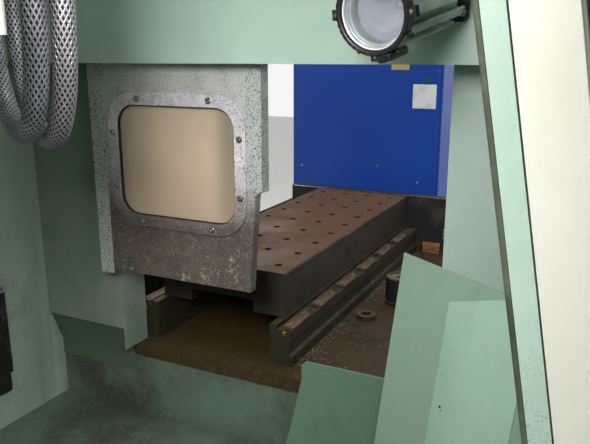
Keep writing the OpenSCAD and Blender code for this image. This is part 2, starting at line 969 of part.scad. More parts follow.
// Black plates across the station's far end, on its blocks, and along its back
module end_plate() {
    foot = 38;
    y0 = deck_front_y + 40;
    y1 = deck_rear_y - 40;
    color("black")
        difference() {
            span([station_x1, y0, deck_top + foot], [station_x1 + 8, y1, deck_top + end_plate_h]);
            for (y = [y0 + 138, y1 - 138])
                translate([station_x1 - 1, y, deck_top + 70])
                    rotate([0, 90, 0])
                        cylinder(h = 10, d = 11);
        }
    color("black") {
        span([station_x1 + 8, y0, deck_top + end_plate_h - 3],
             [station_x1 + 24, y1, deck_top + end_plate_h]);
        span([out_r + 6, y1, deck_top], [station_x1 + 8, y1 + 5, deck_top + 140]);
    }
    color("tan")
        for (y = [y0 + 150, spindle_y - 30, y1 - 100])
            span([station_x1, y, deck_top], [station_x1 + 8, y + 60, deck_top + foot]);
}

// Round stop post and the collar beside it on the deck
module stop_post() {
    color("black")
        translate(post_at)
            difference() {
                cylinder(h = post_h, d = post_d);
                translate([0, 0, post_h - 4])
                    cylinder(h = 5, d = post_d - 14);
            }
    color("dimgray")
        translate(collar_at)
            difference() {
                cylinder(h = 13, d = 50);
                translate([0, 0, -1])
                    cylinder(h = 15, d = 25);
            }
}

// Blue sheet steel cabinet with its mounting plate and devices
module cabinet_body() {
    color("royalblue") {
        difference() {
            span([cab_x0, cab_y0, cab_z0], [cab_x1, cab_y1, cab_z1]);
            span([cab_x0 + sheet_t, cab_y0 + sheet_t, cab_z0 + sheet_t],
                 [cab_x1 + 1, cab_y1 - sheet_t, cab_z1 - sheet_t]);
        }
        for (z = cab_hinges)
            translate([cab_x1 + run_gap / 2, cab_y1, z])
                hinge_fixed();
    }
    color("gainsboro")
        span([cab_x0 + sheet_t, cab_y0 + 50, cab_z0 + 120],
             [cab_x0 + sheet_t + 20, cab_y1 - 50, cab_z1 - 120]);
    color("dimgray")
        for (i = [0:3])
            span([cab_x0 + sheet_t + 20, cab_y0 + 90, cab_z0 + 220 + i * 370],
                 [cab_x0 + sheet_t + 110, cab_y1 - 90, cab_z0 + 380 + i * 370]);
}

// Cabinet for the electrics on the back of the bed and column
module electrics_cabinet() {
    y0 = bed_y1;
    color("gainsboro") {
        difference() {
            span([elec_x0, y0, elec_z0], [elec_x1, elec_y1, elec_z1]);
            span([elec_x0 + sheet_t, y0 + sheet_t, elec_z0 + sheet_t],
                 [elec_x1 - sheet_t, elec_y1 + 1, elec_z1 - sheet_t]);
        }
        for (z = elec_hinges)
            translate([elec_x0, elec_y1 + run_gap / 2, z])
                rotate([0, 0, 90])
                    hinge_fixed();
    }
    color("dimgray")
        for (i = [0:3])
            span([elec_x0 + 100, y0 + sheet_t, elec_z0 + 150 + i * 420],
                 [elec_x1 - 100, y0 + 80, elec_z0 + 360 + i * 420]);
}

// Coolant tank beside the bed with its pump
module coolant_tank() {
    x0 = out_l - 135;
    x1 = spindle_x - bed_w / 2;
    y0 = -700;
    y1 = 600;
    top = 320;
    pump = [x0 + 65, y0 + 160, top];
    color("slategray")
        difference() {
            span([x0, y0, 30], [x1, y1, top]);
            span([x0 + sheet_t, y0 + sheet_t, 30 + sheet_t],
                 [x1 - sheet_t, y1 - sheet_t, top - sheet_t]);
            span([x0 + 60, y0 + 300, top - 10], [x0 + 360, y0 + 700, top + 1]);
        }
    color("black")
        for (x = [x0 + 60, x1 - 60], y = [y0 + 60, y1 - 60])
            translate([x, y, 0])
                cylinder(h = 30, d = 60);
    color("royalblue")
        translate(pump) {
            cylinder(h = 20, d = 130);
            translate([0, 0, 20])
                cylinder(h = 60, d = 80);
            translate([0, 0, 80])
                cylinder(h = 190, d = 110);
        }
}

// Saddle that carries the table across the bed, with its blocks, slides and feed motor
module saddle() {
    color("darkseagreen")
        difference() {
            span([spindle_x - saddle_l / 2, saddle_y0, saddle_z],
                 [spindle_x + saddle_l / 2, saddle_y1, saddle_top]);
            for (side = [-1, 1])
                translate([spindle_x + side * (saddle_l / 2 - 120), spindle_y, saddle_z])
                    cube([170, saddle_w - 100, 80], center = true);
            translate([spindle_x, spindle_y, saddle_top])
                cube([saddle_l + 2, 2 * way_y - 100, 40], center = true);
        }
    color("dimgray")
        for (side = [-1, 1], y = [saddle_y0 + 80, saddle_y1 - 80])
            across(y - 55, y + 55)
                translate([spindle_x + side * way_x, bed_z])
                    block_profile(saddle_z - bed_z);
    color("silver")
        for (side = [-1, 1])
            along(spindle_x - saddle_l / 2 + 10, spindle_x + saddle_l / 2 - 10)
                translate([spindle_y + side * way_y, saddle_top])
                    lin_profile();
    color("black")
        span([spindle_x - saddle_l / 2 - 120, spindle_y - 40, saddle_z + 8],
             [spindle_x - saddle_l / 2, spindle_y + 40, saddle_z + 88]);
}

// Front way cover that moves with the saddle
module way_cover_front() {
    color("lightsteelblue")
        way_cover(saddle_y0 - 210, saddle_y0, 0);
}

// Middle way cover between the moving one and the fixed one
module way_cover_middle() {
    color("lightsteelblue")
        way_cover(cover_y1 - 200, cover_y1, 1);
}

// Machine table with the carriage blocks under it
module table() {
    y0 = spindle_y - table_w / 2;
    y1 = spindle_y + table_w / 2;
    color("darkgray")
        difference() {
            span([table_x0, y0, table_z], [table_x1, y1, table_top]);
            translate([spindle_x, spindle_y, table_top])
                cube([table_l + 2, rail_in * 2 - 40, 30], center = true);
            for (x = [-300, 0, 300])
                translate([spindle_x + x, spindle_y, table_z])
                    cube([200, 200, 40], center = true);
        }
    color("dimgray")
        for (side = [-1, 1], x = [-180, 180])
            along(spindle_x + x - 45, spindle_x + x + 45)
                translate([spindle_y + side * way_y, saddle_top])
                    block_profile(table_z - saddle_top);
}

// Rails on the table that take over the pallet
module table_rails() {
    color("gray")
        translate([0, 0, -run_gap])
            rail_pair(table_x0, table_x1);
}

// Roof shaped covers at both ends of the table
module table_covers() {
    reach = 160;
    y0 = spindle_y - table_w / 2;
    y1 = spindle_y + table_w / 2;
    z = table_z + 8;
    color("lightsteelblue")
        for (x = [table_x0 - reach, table_x1])
            along(x, x + reach)
                polygon([
                    [y0, table_z - 24], [y0, z], [y0 + 30, z + sheet_t], [y1 - 30, z + sheet_t],
                    [y1, z], [y1, table_z - 24], [y1 - sheet_t, table_z - 24],
                    [y1 - sheet_t, z - 3], [y1 - 30, z], [y0 + 30, z],
                    [y0 + sheet_t, z - 3], [y0 + sheet_t, table_z - 24]
                ]);
}

// Spindle head casting with its carriage blocks and the motor on top
module head_casting() {
    plate_y = back_out_y + 4;
    color("darkseagreen")
        difference() {
            union() {
                span([spindle_x - 240, plate_y, cover_z + 32],
                     [spindle_x + 240, plate_y + 40, cover_z + 550]);
                span([spindle_x - 160, spindle_y - 160, head_z],
                     [spindle_x + 160, plate_y + 1, head_z + 310]);
                along(spindle_x - 20, spindle_x + 20)
                    polygon([
                        [spindle_y + 170, head_z + 309], [plate_y + 1, head_z + 309],
                        [plate_y + 1, cover_z + 540]
                    ]);
            }
            translate([spindle_x, spindle_y, head_z - 1])
                cylinder(h = 400, r = 80);
        }
    color("dimgray")
        for (side = [-1, 1], z = [cover_z + 70, cover_z + 420])
            translate([spindle_x + side * z_way_x, col_y, z])
                linear_extrude(110)
                    rotate(180)
                        block_profile(col_y - plate_y - 40);
    color("black")
        translate([spindle_x, spindle_y, head_z + 310]) {
            cylinder(h = 24, d = 240);
            translate([0, 0, 24])
                cylinder(h = 270, d = 210);
        }
}

// Sheet metal cover round the spindle head
module head_cover() {
    depth = back_y - 15 - cover_front_y;
    mid_y = cover_front_y + depth / 2;
    color("ivory")
        translate([spindle_x, mid_y, cover_z])
            difference() {
                linear_extrude(cover_h)
                    rounded(cover_w, depth, 14);
                translate([0, 0, cover_t])
                    linear_extrude(cover_h - 2 * cover_t)
                        rounded(cover_w - 2 * cover_t, depth - 2 * cover_t, 11);
                translate([0, spindle_y - mid_y, -1])
                    cylinder(h = 10, d = 210);
                translate([0, depth / 2, (cover_t + cover_h - 50) / 2])
                    cube([cover_w - 80, 40, cover_h - 50 - cover_t], center = true);
            }
}

// Spindle housing flanged to the head
module spindle_housing() {
    color("gainsboro")
        translate([spindle_x, spindle_y, 0])
            difference() {
                union() {
                    translate([0, 0, head_z])
                        cylinder(h = 300, r = 80 - fit_gap);
                    translate([0, 0, head_z - 34])
                        cylinder(h = 34, d = 200);
                    translate([0, 0, head_z - 58])
                        cylinder(h = 24, d1 = 140, d2 = 160);
                }
                translate([0, 0, head_z - 60])
                    cylinder(h = 362, r = shaft_d / 2 + fit_gap);
                for (a = [30:60:330])
                    rotate(a)
                        translate([88, 0, head_z - 35])
                            cylinder(h = 9, d = 14);
            }
}

// Jointed coolant nozzles beside the spindle
module coolant_nozzles() {
    joints = 5;
    color("orange")
        for (side = [0, 1])
            translate([spindle_x + 128 - side * 256, spindle_y, cover_z])
                mirror([side, 0, 0]) {
                    translate([0, 0, -12])
                        cylinder(h = 12, d = 26);
                    for (i = [0:joints - 1])
                        translate([-i * i * 1.6, 0, -18 - i * 13])
                            rotate([0, 8 * i, 0]) {
                                sphere(d = 17);
                                translate([0, 0, -9])
                                    cylinder(h = 9, d1 = 11, d2 = 15);
                            }
                    translate([-40, 0, -88])
                        rotate([0, 40, 0])
                            cylinder(h = 26, d1 = 6, d2 = 13);
                }
}

// Spindle shaft with its taper
module spindle_shaft() {
    color("silver")
        translate([spindle_x, spindle_y, nose_z])
            difference() {
                cylinder(h = cover_z + 290 - nose_z, d = shaft_d);
                translate([0, 0, -1])
                    cylinder(h = 66, d1 = 44.7, d2 = 25.5);
                translate([0, 0, 64])
                    cylinder(h = 300, d = 18);
                translate([0, 0, -1])
                    cube([16.2, shaft_d + 2, 8], center = true);
            }
}

// Tool holder in the spindle
module tool_holder() {
    color("dimgray")
        translate([spindle_x, spindle_y, nose_z]) {
            translate([0, 0, -26])
                difference() {
                    cylinder(h = 26, d = holder_d);
                    translate([0, 0, 12])
                        rotate_extrude()
                            translate([holder_d / 2 + 1, 0])
                                circle(d = 10, $fn = 24);
                }
            cylinder(h = 60, d1 = 43.9, d2 = 26.4);
            translate([0, 0, -62])
                cylinder(h = 36, d = 50);
        }
}

// Disc of the tool magazine with its open pots, hub and shaft
module magazine_disc() {
    color("gainsboro")
        translate([mag_x, mag_y, disc_z])
            union() {
                linear_extrude(24)
                    difference() {
                        circle(d = disc_d, $fn = 96);
                        for (i = [0:pots - 1])
                            rotate(i * 360 / pots) {
                                translate([pot_r, 0])
                                    circle(r = neck_r);
                                translate([pot_r, -neck_r + 3])
                                    square([60, 2 * neck_r - 6]);
                            }
                        for (i = [0:3])
                            rotate(45 + i * 90)
                                translate([pot_r / 2 + 12, 0])
                                    circle(d = 84);
                    }
                cylinder(h = 150, d = 110);
                cylinder(h = 218, r = 20);
            }
}

// Tool holders stored in the magazine
module magazine_tools() {
    color("dimgray")
        for (i = [0:pots - 1])
            translate([mag_x, mag_y, disc_z])
                rotate(i * 360 / pots)
                    translate([pot_r, 0, 24]) {
                        cylinder(h = 14, d = holder_d, $fn = 32);
                        translate([0, 0, 14])
                            cylinder(h = 62, d1 = 43.9, d2 = 26, $fn = 32);
                        translate([0, 0, -64])
                            cylinder(h = 64, r = neck_r - 2, $fn = 32);
                    }
}

// A door leaf on the slanted front, drawn as the right one
module door_leaf() {
    w = opening_w / 2 + 4.7;
    y1 = -frame_t - door_gap;
    y0 = y1 - door_t;
    edge = 34;
    mid = w / 2 + 10;
    win_z = door_len * 0.56;
    translate([open_x1, 0, 10]) {
        color("ghostwhite") {
            difference() {
                span([0, y0, 0], [w, y1, door_len]);
                difference() {
                    span([edge, y0 + 3, edge], [w - edge, y1 + 1, door_len - edge]);
                    translate([mid, y0, win_z])
                        rotate([90, 0, 0])
                            translate([0, 0, -20])
                                linear_extrude(21)
                                    rounded(door_win_w + 60, door_win_l + 60, 50);
                }
                translate([mid, y0 + 6, win_z])
                    rotate([90, 0, 0])
                        linear_extrude(20)
                            rounded(door_win_w, door_win_l, 40);
                translate([mid, y0 + 30, win_z])
                    rotate([90, 0, 0])
                        linear_extrude(24.01)
                            rounded(door_win_w + 20, door_win_l + 20, 45);
            }
            for (x = [60, w - 100])
                span([x, y0 + 12, run_gap - 12], [x + 40, y1 - 14, 0]);
        }
        color("cornsilk") {
            span([0, y0 - trim_t, 0], [16, y0, door_len]);
            for (z = [420, 720])
                span([54, y0 - 36, z - 10], [74, y0, z + 10]);
            span([54, y0 - 46, 380], [74, y0 - 36, 760]);
        }
    }
}

// The clear pane of a door leaf, drawn as the right one
module door_pane() {
    w = opening_w / 2 + 4.7;
    y0 = -frame_t - door_gap - door_t;
    color("lightcyan")
        translate([open_x1 + w / 2 + 10, y0 + 12, 10 + door_len * 0.56])
            rotate([90, 0, 0])
                linear_extrude(6)
                    rounded(door_win_w + 19, door_win_l + 19, 44.5);
}

// Right door leaf, shown slid open
module door_right() {
    on_front()
        door_leaf();
}

// Window pane of the right leaf
module door_right_pane() {
    on_front()
        door_pane();
}

// Mirrors its children about the middle of the door opening
module other_leaf() {
    translate([2 * spindle_x, 0, 0])
        mirror([1, 0, 0])
            children();
}

// Left door leaf, shown slid open
module door_left() {
    other_leaf()
        on_front()
            door_leaf();
}

// Window pane of the left leaf
module door_left_pane() {
    other_leaf()
        on_front()
            door_pane();
}

// A drawing about the shutter's window, carried from x0 to x1
module about_window(x0, x1) {
    along(x0, x1)
        translate([pane_y, pane_z])
            children();
}

// Folded panel of the lift shutter with its window hole
module shutter_panel() {
    low_y = shutter_y0 + 26;
    edge = 3;
    color("mediumaquamarine")
        difference() {
            along(shutter_x0, shutter_x1)
                polygon([
                    [shutter_y1, shutter_z0], [shutter_y1, shutter_z1],
                    [shutter_y0, shutter_z1], [shutter_y0, guide_low_z],
                    [shutter_y0 + 12, guide_low_z - 7], [low_y, shutter_z0]
                ]);
            difference() {
                along(shutter_x0 + edge, shutter_x1 + 1)
                    polygon([
                        [shutter_y1 - edge, shutter_z0 + edge],
                        [shutter_y1 - edge, shutter_z1 - edge],
                        [shutter_y0 + edge, shutter_z1 - edge],
                        [shutter_y0 + edge, guide_low_z + edge],
                        [low_y + 8, guide_low_z - 8], [low_y + edge, shutter_z0 + edge]
                    ]);
                about_window(shutter_x0, shutter_x0 + 12)
                    rounded(pane_w + 36, pane_h + 36, pane_r + 18);
            }
            about_window(shutter_x0 - 1, shutter_x1 + 1)
                rounded(pane_w, pane_h, pane_r);
            about_window(shutter_x0 + 6, shutter_x1 + 1)
                rounded(pane_w + 16, pane_h + 16, pane_r + 8);
        }
}

// Clamping frame round the shutter's window, with its screws
module shutter_frame() {
    color("rosybrown")
        difference() {
            about_window(shutter_x0 - 5, shutter_x0)
                rounded(pane_w + 2 * pane_frame_w, pane_h + 2 * pane_frame_w, pane_r + 10);
            about_window(shutter_x0 - 6, shutter_x0 + 1)
                rounded(pane_w, pane_h, pane_r);
        }
    color("silver")
        for (p = [[80, (pane_h + pane_frame_w) / 2], [(pane_w + pane_frame_w) / 2, 53]])
            for (y = [-1, 1], z = [-1, 1])
                translate([shutter_x0 - 8, pane_y + y * p[0], pane_z + z * p[1]])
                    rotate([0, 90, 0])
                        cylinder(h = 3, d = 11, $fn = 24);
}

// Frosted pane of the shutter
module shutter_pane() {
    color("tan")
        about_window(shutter_x0 + 6, shutter_x0 + 10)
            rounded(pane_w + 15, pane_h + 15, pane_r + 7.5);
}

// Pallet with its clamping holes and bearing feet
module pallet() {
    chamfer = 3;
    half = pallet_w / 2;
    color("dimgray")
        difference() {
            along(pallet_x0, pallet_x1)
                translate([spindle_y, 0])
                    polygon([
                        [-half, ride_z], [-half + foot_w, ride_z],
                        [-half + foot_w, ride_z + foot_d], [half - foot_w, ride_z + foot_d],
                        [half - foot_w, ride_z], [half, ride_z],
                        [half, pallet_top - chamfer], [half - chamfer, pallet_top],
                        [-half + chamfer, pallet_top], [-half, pallet_top - chamfer]
                    ]);
            for (i = [0:hole_cols - 1], j = [0:hole_rows - 1])
                translate([
                    pallet_cx + (i - (hole_cols - 1) / 2) * hole_pitch_x,
                    spindle_y + (j - (hole_rows - 1) / 2) * hole_pitch_y,
                    pallet_top - hole_depth
                ])
                    cylinder(h = hole_depth + 1, d = hole_d);
        }
}

// Puts its children at the lamp's pivot with Z towards the lens
module at_lamp() {
    translate(lamp_pivot)
        rotate([0, 90 + lamp_down, 180 - lamp_turn])
            children();
}

// Finned body of the work lamp, hollow at the front, with its knuckle
module lamp_body() {
    body_r = lamp_d / 2 - 9;
    step = 360 / lamp_fins;
    color("lightgray")
        at_lamp()
            difference() {
                union() {
                    translate([0, 0, neck_l])
                        linear_extrude(lamp_l - 16)
                            union() {
                                circle(body_r);
                                for (i = [0:lamp_fins - 1])
                                    rotate(i * step)
                                        translate([body_r - 2, -2])
                                            square([9, 4]);
                            }
                    translate([0, 0, 10])
                        cylinder(h = neck_l - 9, r = 10);
                }
                translate([0, 0, neck_l + 40])
                    cylinder(h = lamp_l, r1 = 14, r2 = body_r + 8);
            }
    color("lightgray")
        difference() {
            translate([lamp_pivot[0], lamp_pivot[1] + 13, lamp_pivot[2]])
                rotate([90, 0, 0])
                    cylinder(h = 26, r = 13);
            translate([lamp_pivot[0], lamp_pivot[1] + 14, lamp_pivot[2]])
                rotate([90, 0, 0])
                    cylinder(h = 28, r = 5 + fit_gap);
        }
}

// Black front ring of the lamp with its lugs and the thumb lever
module lamp_ring() {
    color("black")
        at_lamp()
            translate([0, 0, neck_l + lamp_l - 16]) {
                difference() {
                    union() {
                        cylinder(h = 16, d = lamp_d);
                        for (i = [0:11])
                            rotate(i * 30)
                                translate([lamp_d / 2, 0, 0])
                                    cylinder(h = 10, d = 8, $fn = 24);
                    }
                    translate([0, 0, -1])
                        cylinder(h = 18, d = lamp_d - 14);
                }
                rotate(15)
                    translate([lamp_d / 2 - 1.5, -8, -30])
                        cube([7, 16, 42]);
            }
}

// Front glass of the lamp
module lamp_lens() {
    color("white")
        at_lamp()
            translate([0, 0, neck_l + lamp_l - 16])
                cylinder(h = 4, d = lamp_d - 14.2);
}

// Door on the far side of the blue cabinet
module cabinet_door() {
    color("royalblue") {
        difference() {
            span([cab_x1 + run_gap, cab_y0, cab_z0], [cab_x1 + cab_door_t, cab_y1, cab_z1]);
            span([cab_x1, cab_y0 + 20, cab_z0 + 20],
                 [cab_x1 + cab_door_t - sheet_t, cab_y1 - 20, cab_z1 - 20]);
        }
        for (z = cab_hinges)
            translate([cab_x1 + run_gap / 2, cab_y1, z])
                hinge_moving();
    }
}

// Quarter turn latch of the cabinet door
module cabinet_latch() {
    color("black")
        translate([cab_x1 + cab_door_t, latch_y, latch_z]) {
            rotate([0, 90, 0])
                cylinder(h = 4, d = 34);
            translate([2, -7, -45])
                cube([6, 14, 70]);
        }
}

// Door of the electrics cabinet
module electrics_door() {
    color("gainsboro") {
        difference() {
            span([elec_x0, elec_y1 + run_gap, elec_z0], [elec_x1, elec_y1 + elec_door_t, elec_z1]);
            span([elec_x0 + 20, elec_y1, elec_z0 + 20],
                 [elec_x1 - 20, elec_y1 + elec_door_t - sheet_t, elec_z1 - 20]);
        }
        for (z = elec_hinges)
            translate([elec_x0, elec_y1 + run_gap / 2, z])
                rotate([0, 0, 90])
                    hinge_moving();
    }
}

// Control panel housing on its upright
module panel_housing() {
    y0 = arm_y - panel_d / 2;
    color("gainsboro")
        difference() {
            span([panel_x0, y0, panel_z0], [panel_x0 + panel_w, y0 + panel_d, panel_z0 + panel_h]);
            span([panel_x0 + 30, y0 - 1, panel_z0 + 200],
                 [panel_x0 + panel_w - 30, y0 + 6, panel_z0 + panel_h - 40]);
            span([panel_x0 + 15, y0 - 1, panel_z0 + 20],
                 [panel_x0 + panel_w - 15, y0 + 2, panel_z0 + 170]);
            translate([button_x, y0 + 12, control_z])
                rotate([90, 0, 0])
                    cylinder(h = 14, r = 10 + run_gap);
        }
    color("black")
        span([panel_x0 + 30, y0 + 3, panel_z0 + 200],
             [panel_x0 + panel_w - 30, y0 + 6, panel_z0 + panel_h - 40]);
    color("gainsboro") {
        translate([arm_x, arm_y, arm_heights[0] - 40])
            cylinder(h = 680, r = 24);
        translate([arm_x, arm_y, arm_heights[1] + 20 + run_gap])
            cylinder(h = 20, r = 34);
        for (z = [100, 200])
            span([arm_x + 15, arm_y - 18, panel_z0 + z], [panel_x0, arm_y + 18, panel_z0 + z + 40]);
    }
}

// Mushroom stop button on the control panel
module stop_button() {
    y0 = arm_y - panel_d / 2;
    color("red")
        translate([button_x, y0, control_z])
            rotate([90, 0, 0]) {
                translate([0, 0, -4])
                    cylinder(h = 14, r = 10);
                translate([0, 0, 8])
                    cylinder(h = 12, r1 = 20, r2 = 17);
            }
}

// Feed knob on the control panel
module feed_knob() {
    y0 = arm_y - panel_d / 2;
    color("black")
        translate([knob_x, y0 + 2 - run_gap, control_z])
            rotate([90, 0, 0]) {
                cylinder(h = 18, r = 17);
                translate([-3, -17, 18])
                    cube([6, 34, 3]);
            }
}

bed();
leveling_feet();
column();
chip_pans();
lower_panels();
front_frame();
wall_right();
header_box();
sill_plate();
wall_left();
back_walls();
shutter_guides();
loose_cover_wide();
loose_cover_narrow();
cable_duct();
hose_front();
hose_rear();
lamp_bracket();
magazine_bracket();
panel_arm();
station_base();
station_deck();
station_rails();
guide_pads();
end_plate();
stop_post();
cabinet_body();
electrics_cabinet();
coolant_tank();
saddle();
way_cover_front();
way_cover_middle();
table();
table_rails();
table_covers();
head_casting();
head_cover();
spindle_housing();
coolant_nozzles();
spindle_shaft();
tool_holder();
magazine_disc();
magazine_tools();
door_right();
door_right_pane();
door_left();
door_left_pane();
shutter_panel();
shutter_frame();
shutter_pane();
pallet();
lamp_body();
lamp_ring();
lamp_lens();
cabinet_door();
cabinet_latch();
electrics_door();
panel_housing();
stop_button();
feed_knob();
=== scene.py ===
import math
import random

import bmesh
import bpy
from mathutils import Matrix, Vector


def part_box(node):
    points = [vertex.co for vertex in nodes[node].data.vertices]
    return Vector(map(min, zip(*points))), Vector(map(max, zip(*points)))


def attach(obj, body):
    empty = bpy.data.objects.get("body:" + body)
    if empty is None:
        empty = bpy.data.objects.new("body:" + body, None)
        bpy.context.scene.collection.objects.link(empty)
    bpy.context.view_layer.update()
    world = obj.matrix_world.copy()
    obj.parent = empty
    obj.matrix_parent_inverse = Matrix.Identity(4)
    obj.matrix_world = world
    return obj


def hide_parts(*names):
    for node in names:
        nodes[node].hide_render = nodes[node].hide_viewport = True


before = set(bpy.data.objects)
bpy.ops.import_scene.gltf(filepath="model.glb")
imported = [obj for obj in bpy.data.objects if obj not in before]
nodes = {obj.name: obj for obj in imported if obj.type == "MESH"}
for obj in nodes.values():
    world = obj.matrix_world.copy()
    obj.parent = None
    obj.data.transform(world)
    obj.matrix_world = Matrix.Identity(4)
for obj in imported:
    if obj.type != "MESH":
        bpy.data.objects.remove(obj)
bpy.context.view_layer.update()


# The camera stands at the operator's slanted front doorway and looks through
# the work area to the pallet station on the machine's right side.
camera_data = bpy.data.cameras.new("camera")
camera_data.lens = 39.66
camera_data.sensor_width = 36.0
camera_data.clip_start = 0.02
camera_data.clip_end = 60.0
camera = bpy.data.objects.new("camera", camera_data)
camera.location = (-0.8, -0.95, 1.45)
camera.rotation_euler = (math.radians(75.8), 0.0, math.radians(-64.0))
bpy.context.scene.collection.objects.link(camera)
bpy.context.scene.camera = camera
bpy.context.scene.view_settings.view_transform = "Standard"


# The two braided hoses hang in a loop from the cable duct: rubber cable hose
# under a woven jacket of bright wire, screwed into glands at both ends.
mm = 0.001


def tone(colour):
    """The shader's colour for one as it looks on a screen, 0 to 255."""
    parts = [c / 255.0 for c in colour]
    return tuple(c / 12.92 if c < 0.04045 else ((c + 0.055) / 1.055) ** 2.4 for c in parts) + (1.0,)


def dim(colour, share):
    """The shader's colour for a darker one."""
    return tuple(c * share for c in tone(colour)[:3]) + (1.0,)


def node(mat, kind, values=(), **settings):
    """Adds a shader node; its values are numbers, colours or other nodes' outputs."""
    made = mat.node_tree.nodes.new("ShaderNode" + kind)
    for key, value in settings.items():
        setattr(made, key, value)
    for key, value in dict(values).items():
        if isinstance(value, bpy.types.NodeSocket):
            mat.node_tree.links.new(value, made.inputs[key])
        else:
            made.inputs[key].default_value = value
    return made


def finish(name, rough=0.5, metal=0.0, gloss=0.5):
    """A new material with the plain numbers on its shader's own sockets."""
    mat = bpy.data.materials.new(name)
    mat.use_nodes = True
    shader = mat.node_tree.nodes["Principled BSDF"]
    shader.inputs["Roughness"].default_value = rough
    shader.inputs["Metallic"].default_value = metal
    shader.inputs["Specular IOR Level"].default_value = gloss
    return mat


def into(mat, **sockets):
    """Joins outputs to the shader's sockets, written with _ for a space."""
    shader = mat.node_tree.nodes["Principled BSDF"]
    for key, value in sockets.items():
        mat.node_tree.links.new(value, shader.inputs[key.replace("_", " ")])


def spot(mat, stretch=(1.0, 1.0, 1.0)):
    """The place on the piece, in metres, stretched along the axes."""
    where = node(mat, "TexCoord").outputs["Object"]
    return node(mat, "Mapping", {"Vector": where, "Scale": stretch}).outputs[0]


def noise(mat, scale, detail=4.0, stretch=(1.0, 1.0, 1.0), rough=0.55):
    """Cloudy noise from 0 to 1."""
    values = {"Vector": spot(mat, stretch), "Scale": scale, "Detail": detail, "Roughness": rough}
    return node(mat, "TexNoise", values).outputs[0]


def steps(mat, value, low, high, out_low=0.0, out_high=1.0):
    """Rises smoothly from out_low to out_high while value goes from low to high."""
    values = {0: value, 1: low, 2: high, 3: out_low, 4: out_high}
    return node(mat, "MapRange", values, interpolation_type="SMOOTHSTEP").outputs[0]


def calc(mat, how, first, second=0.5, clamp=True):
    """One sum on two values, kept between 0 and 1 unless told otherwise."""
    return node(mat, "Math", {0: first, 1: second}, operation=how, use_clamp=clamp).outputs[0]


def times(mat, first, second, clamp=True):
    """The product of two values."""
    return calc(mat, "MULTIPLY", first, second, clamp)


def tint(mat, share, *pair):
    """A colour between two, by a share; three plain numbers are a colour on a screen."""
    first, second = [tone(c) if isinstance(c, tuple) and len(c) == 3 else c for c in pair]
    return node(mat, "Mix", {0: share, 6: first, 7: second}, data_type="RGBA").outputs[2]


def relief(mat, height, strength=0.3, deep=0.001, under=None):
    """Bump from a height, on top of another bump."""
    values = {"Height": height, "Strength": strength, "Distance": deep}
    if under:
        values["Normal"] = under
    return node(mat, "Bump", values).outputs[0]


shape = bmesh.new()


def piece(name, mat, body="frame", instead=(), smooth=35):
    """Makes all that was added to the shape, in millimetres, a piece that rides on a body."""
    shape.transform(Matrix.Scale(mm, 4))
    bmesh.ops.recalc_face_normals(shape, faces=shape.faces)
    data = bpy.data.meshes.new(name)
    shape.to_mesh(data)
    shape.clear()
    made = bpy.data.objects.new(name, data)
    bpy.context.scene.collection.objects.link(made)
    data.materials.append(mat)
    data.shade_smooth()
    data.set_sharp_from_angle(angle=math.radians(smooth))
    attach(made, body)
    if instead:
        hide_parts(*instead)
    return made


def tube(route, radius, sides):
    """Adds a round tube along a route; its UV map holds the turn and the metres run."""
    points = [Vector(p) for p in route]
    chart = shape.loops.layers.uv.get("UVMap") or shape.loops.layers.uv.new("UVMap")
    ways = []
    for i, point in enumerate(points):
        ways.append((points[min(i + 1, len(points) - 1)] - points[max(i - 1, 0)]).normalized())
    side = ways[0].orthogonal().normalized()
    first = Matrix((side, ways[0].cross(side), ways[0])).transposed().to_4x4()
    ring = bmesh.ops.create_circle(shape, cap_ends=False, segments=sides, radius=radius)["verts"]
    for vert in ring:
        vert.co = points[0] + first @ vert.co
    rings = [list(ring)]
    run = [0.0]
    for i in range(1, len(points)):
        turn = ways[i - 1].rotation_difference(ways[i])
        last = set(rings[-1])
        edges = list({e for v in last for e in v.link_edges if e.other_vert(v) in last})
        fresh = [g for g in bmesh.ops.extrude_edge_only(shape, edges=edges)["geom"]
                 if isinstance(g, bmesh.types.BMVert)]
        order = [min(fresh, key=lambda v: (v.co - old.co).length) for old in rings[-1]]
        for vert in order:
            vert.co = points[i] + turn @ (vert.co - points[i - 1])
        rings.append(order)
        run.append(run[-1] + (points[i] - points[i - 1]).length)
    place = {v: (i, k) for i, r in enumerate(rings) for k, v in enumerate(r)}
    for face in {f for r in rings for v in r for f in v.link_faces}:
        ks = [place[v][1] for v in face.verts]
        for loop in face.loops:
            i, k = place[loop.vert]
            if k == 0 and max(ks) == sides - 1:
                k = sides
            loop[chart].uv = (k / sides, run[i] * mm)
    for end in (rings[0], rings[-1]):
        bmesh.ops.contextual_create(shape, geom=end)
    return run[-1]


def smooth_route(route, parts):
    """A rounder route through the same points."""
    points = [Vector(p) for p in route]
    out = []
    for i in range(len(points) - 1):
        a, b = points[max(i - 1, 0)], points[i]
        c, d = points[i + 1], points[min(i + 2, len(points) - 1)]
        for k in range(parts):
            t = k / parts
            out.append(0.5 * (2 * b + (c - a) * t + (2 * a - 5 * b + 4 * c - d) * t * t
                              + (3 * b - a - 3 * c + d) * t * t * t))
    return out + [points[-1]]


hose_r = 13.5
hose_front_route = [(-290, -405, z) for z in (1925, 1860, 1790, 1720, 1650, 1580)]
hose_front_route += [
    (-289, -403, 1520), (-286, -398, 1470), (-278, -385, 1425), (-264, -362, 1390),
    (-244, -330, 1368), (-222, -294, 1360), (-200, -257, 1364), (-178, -221, 1380),
    (-161, -193, 1406), (-149, -173, 1444), (-142, -161, 1490),
]
hose_front_route += [(-140, -158, z) for z in (1545, 1610, 1680, 1750, 1820, 1880, 1925)]
hose_rear_route = [(x + 32, y - 8, z - (10 if z < 1600 else 0)) for x, y, z in hose_front_route]

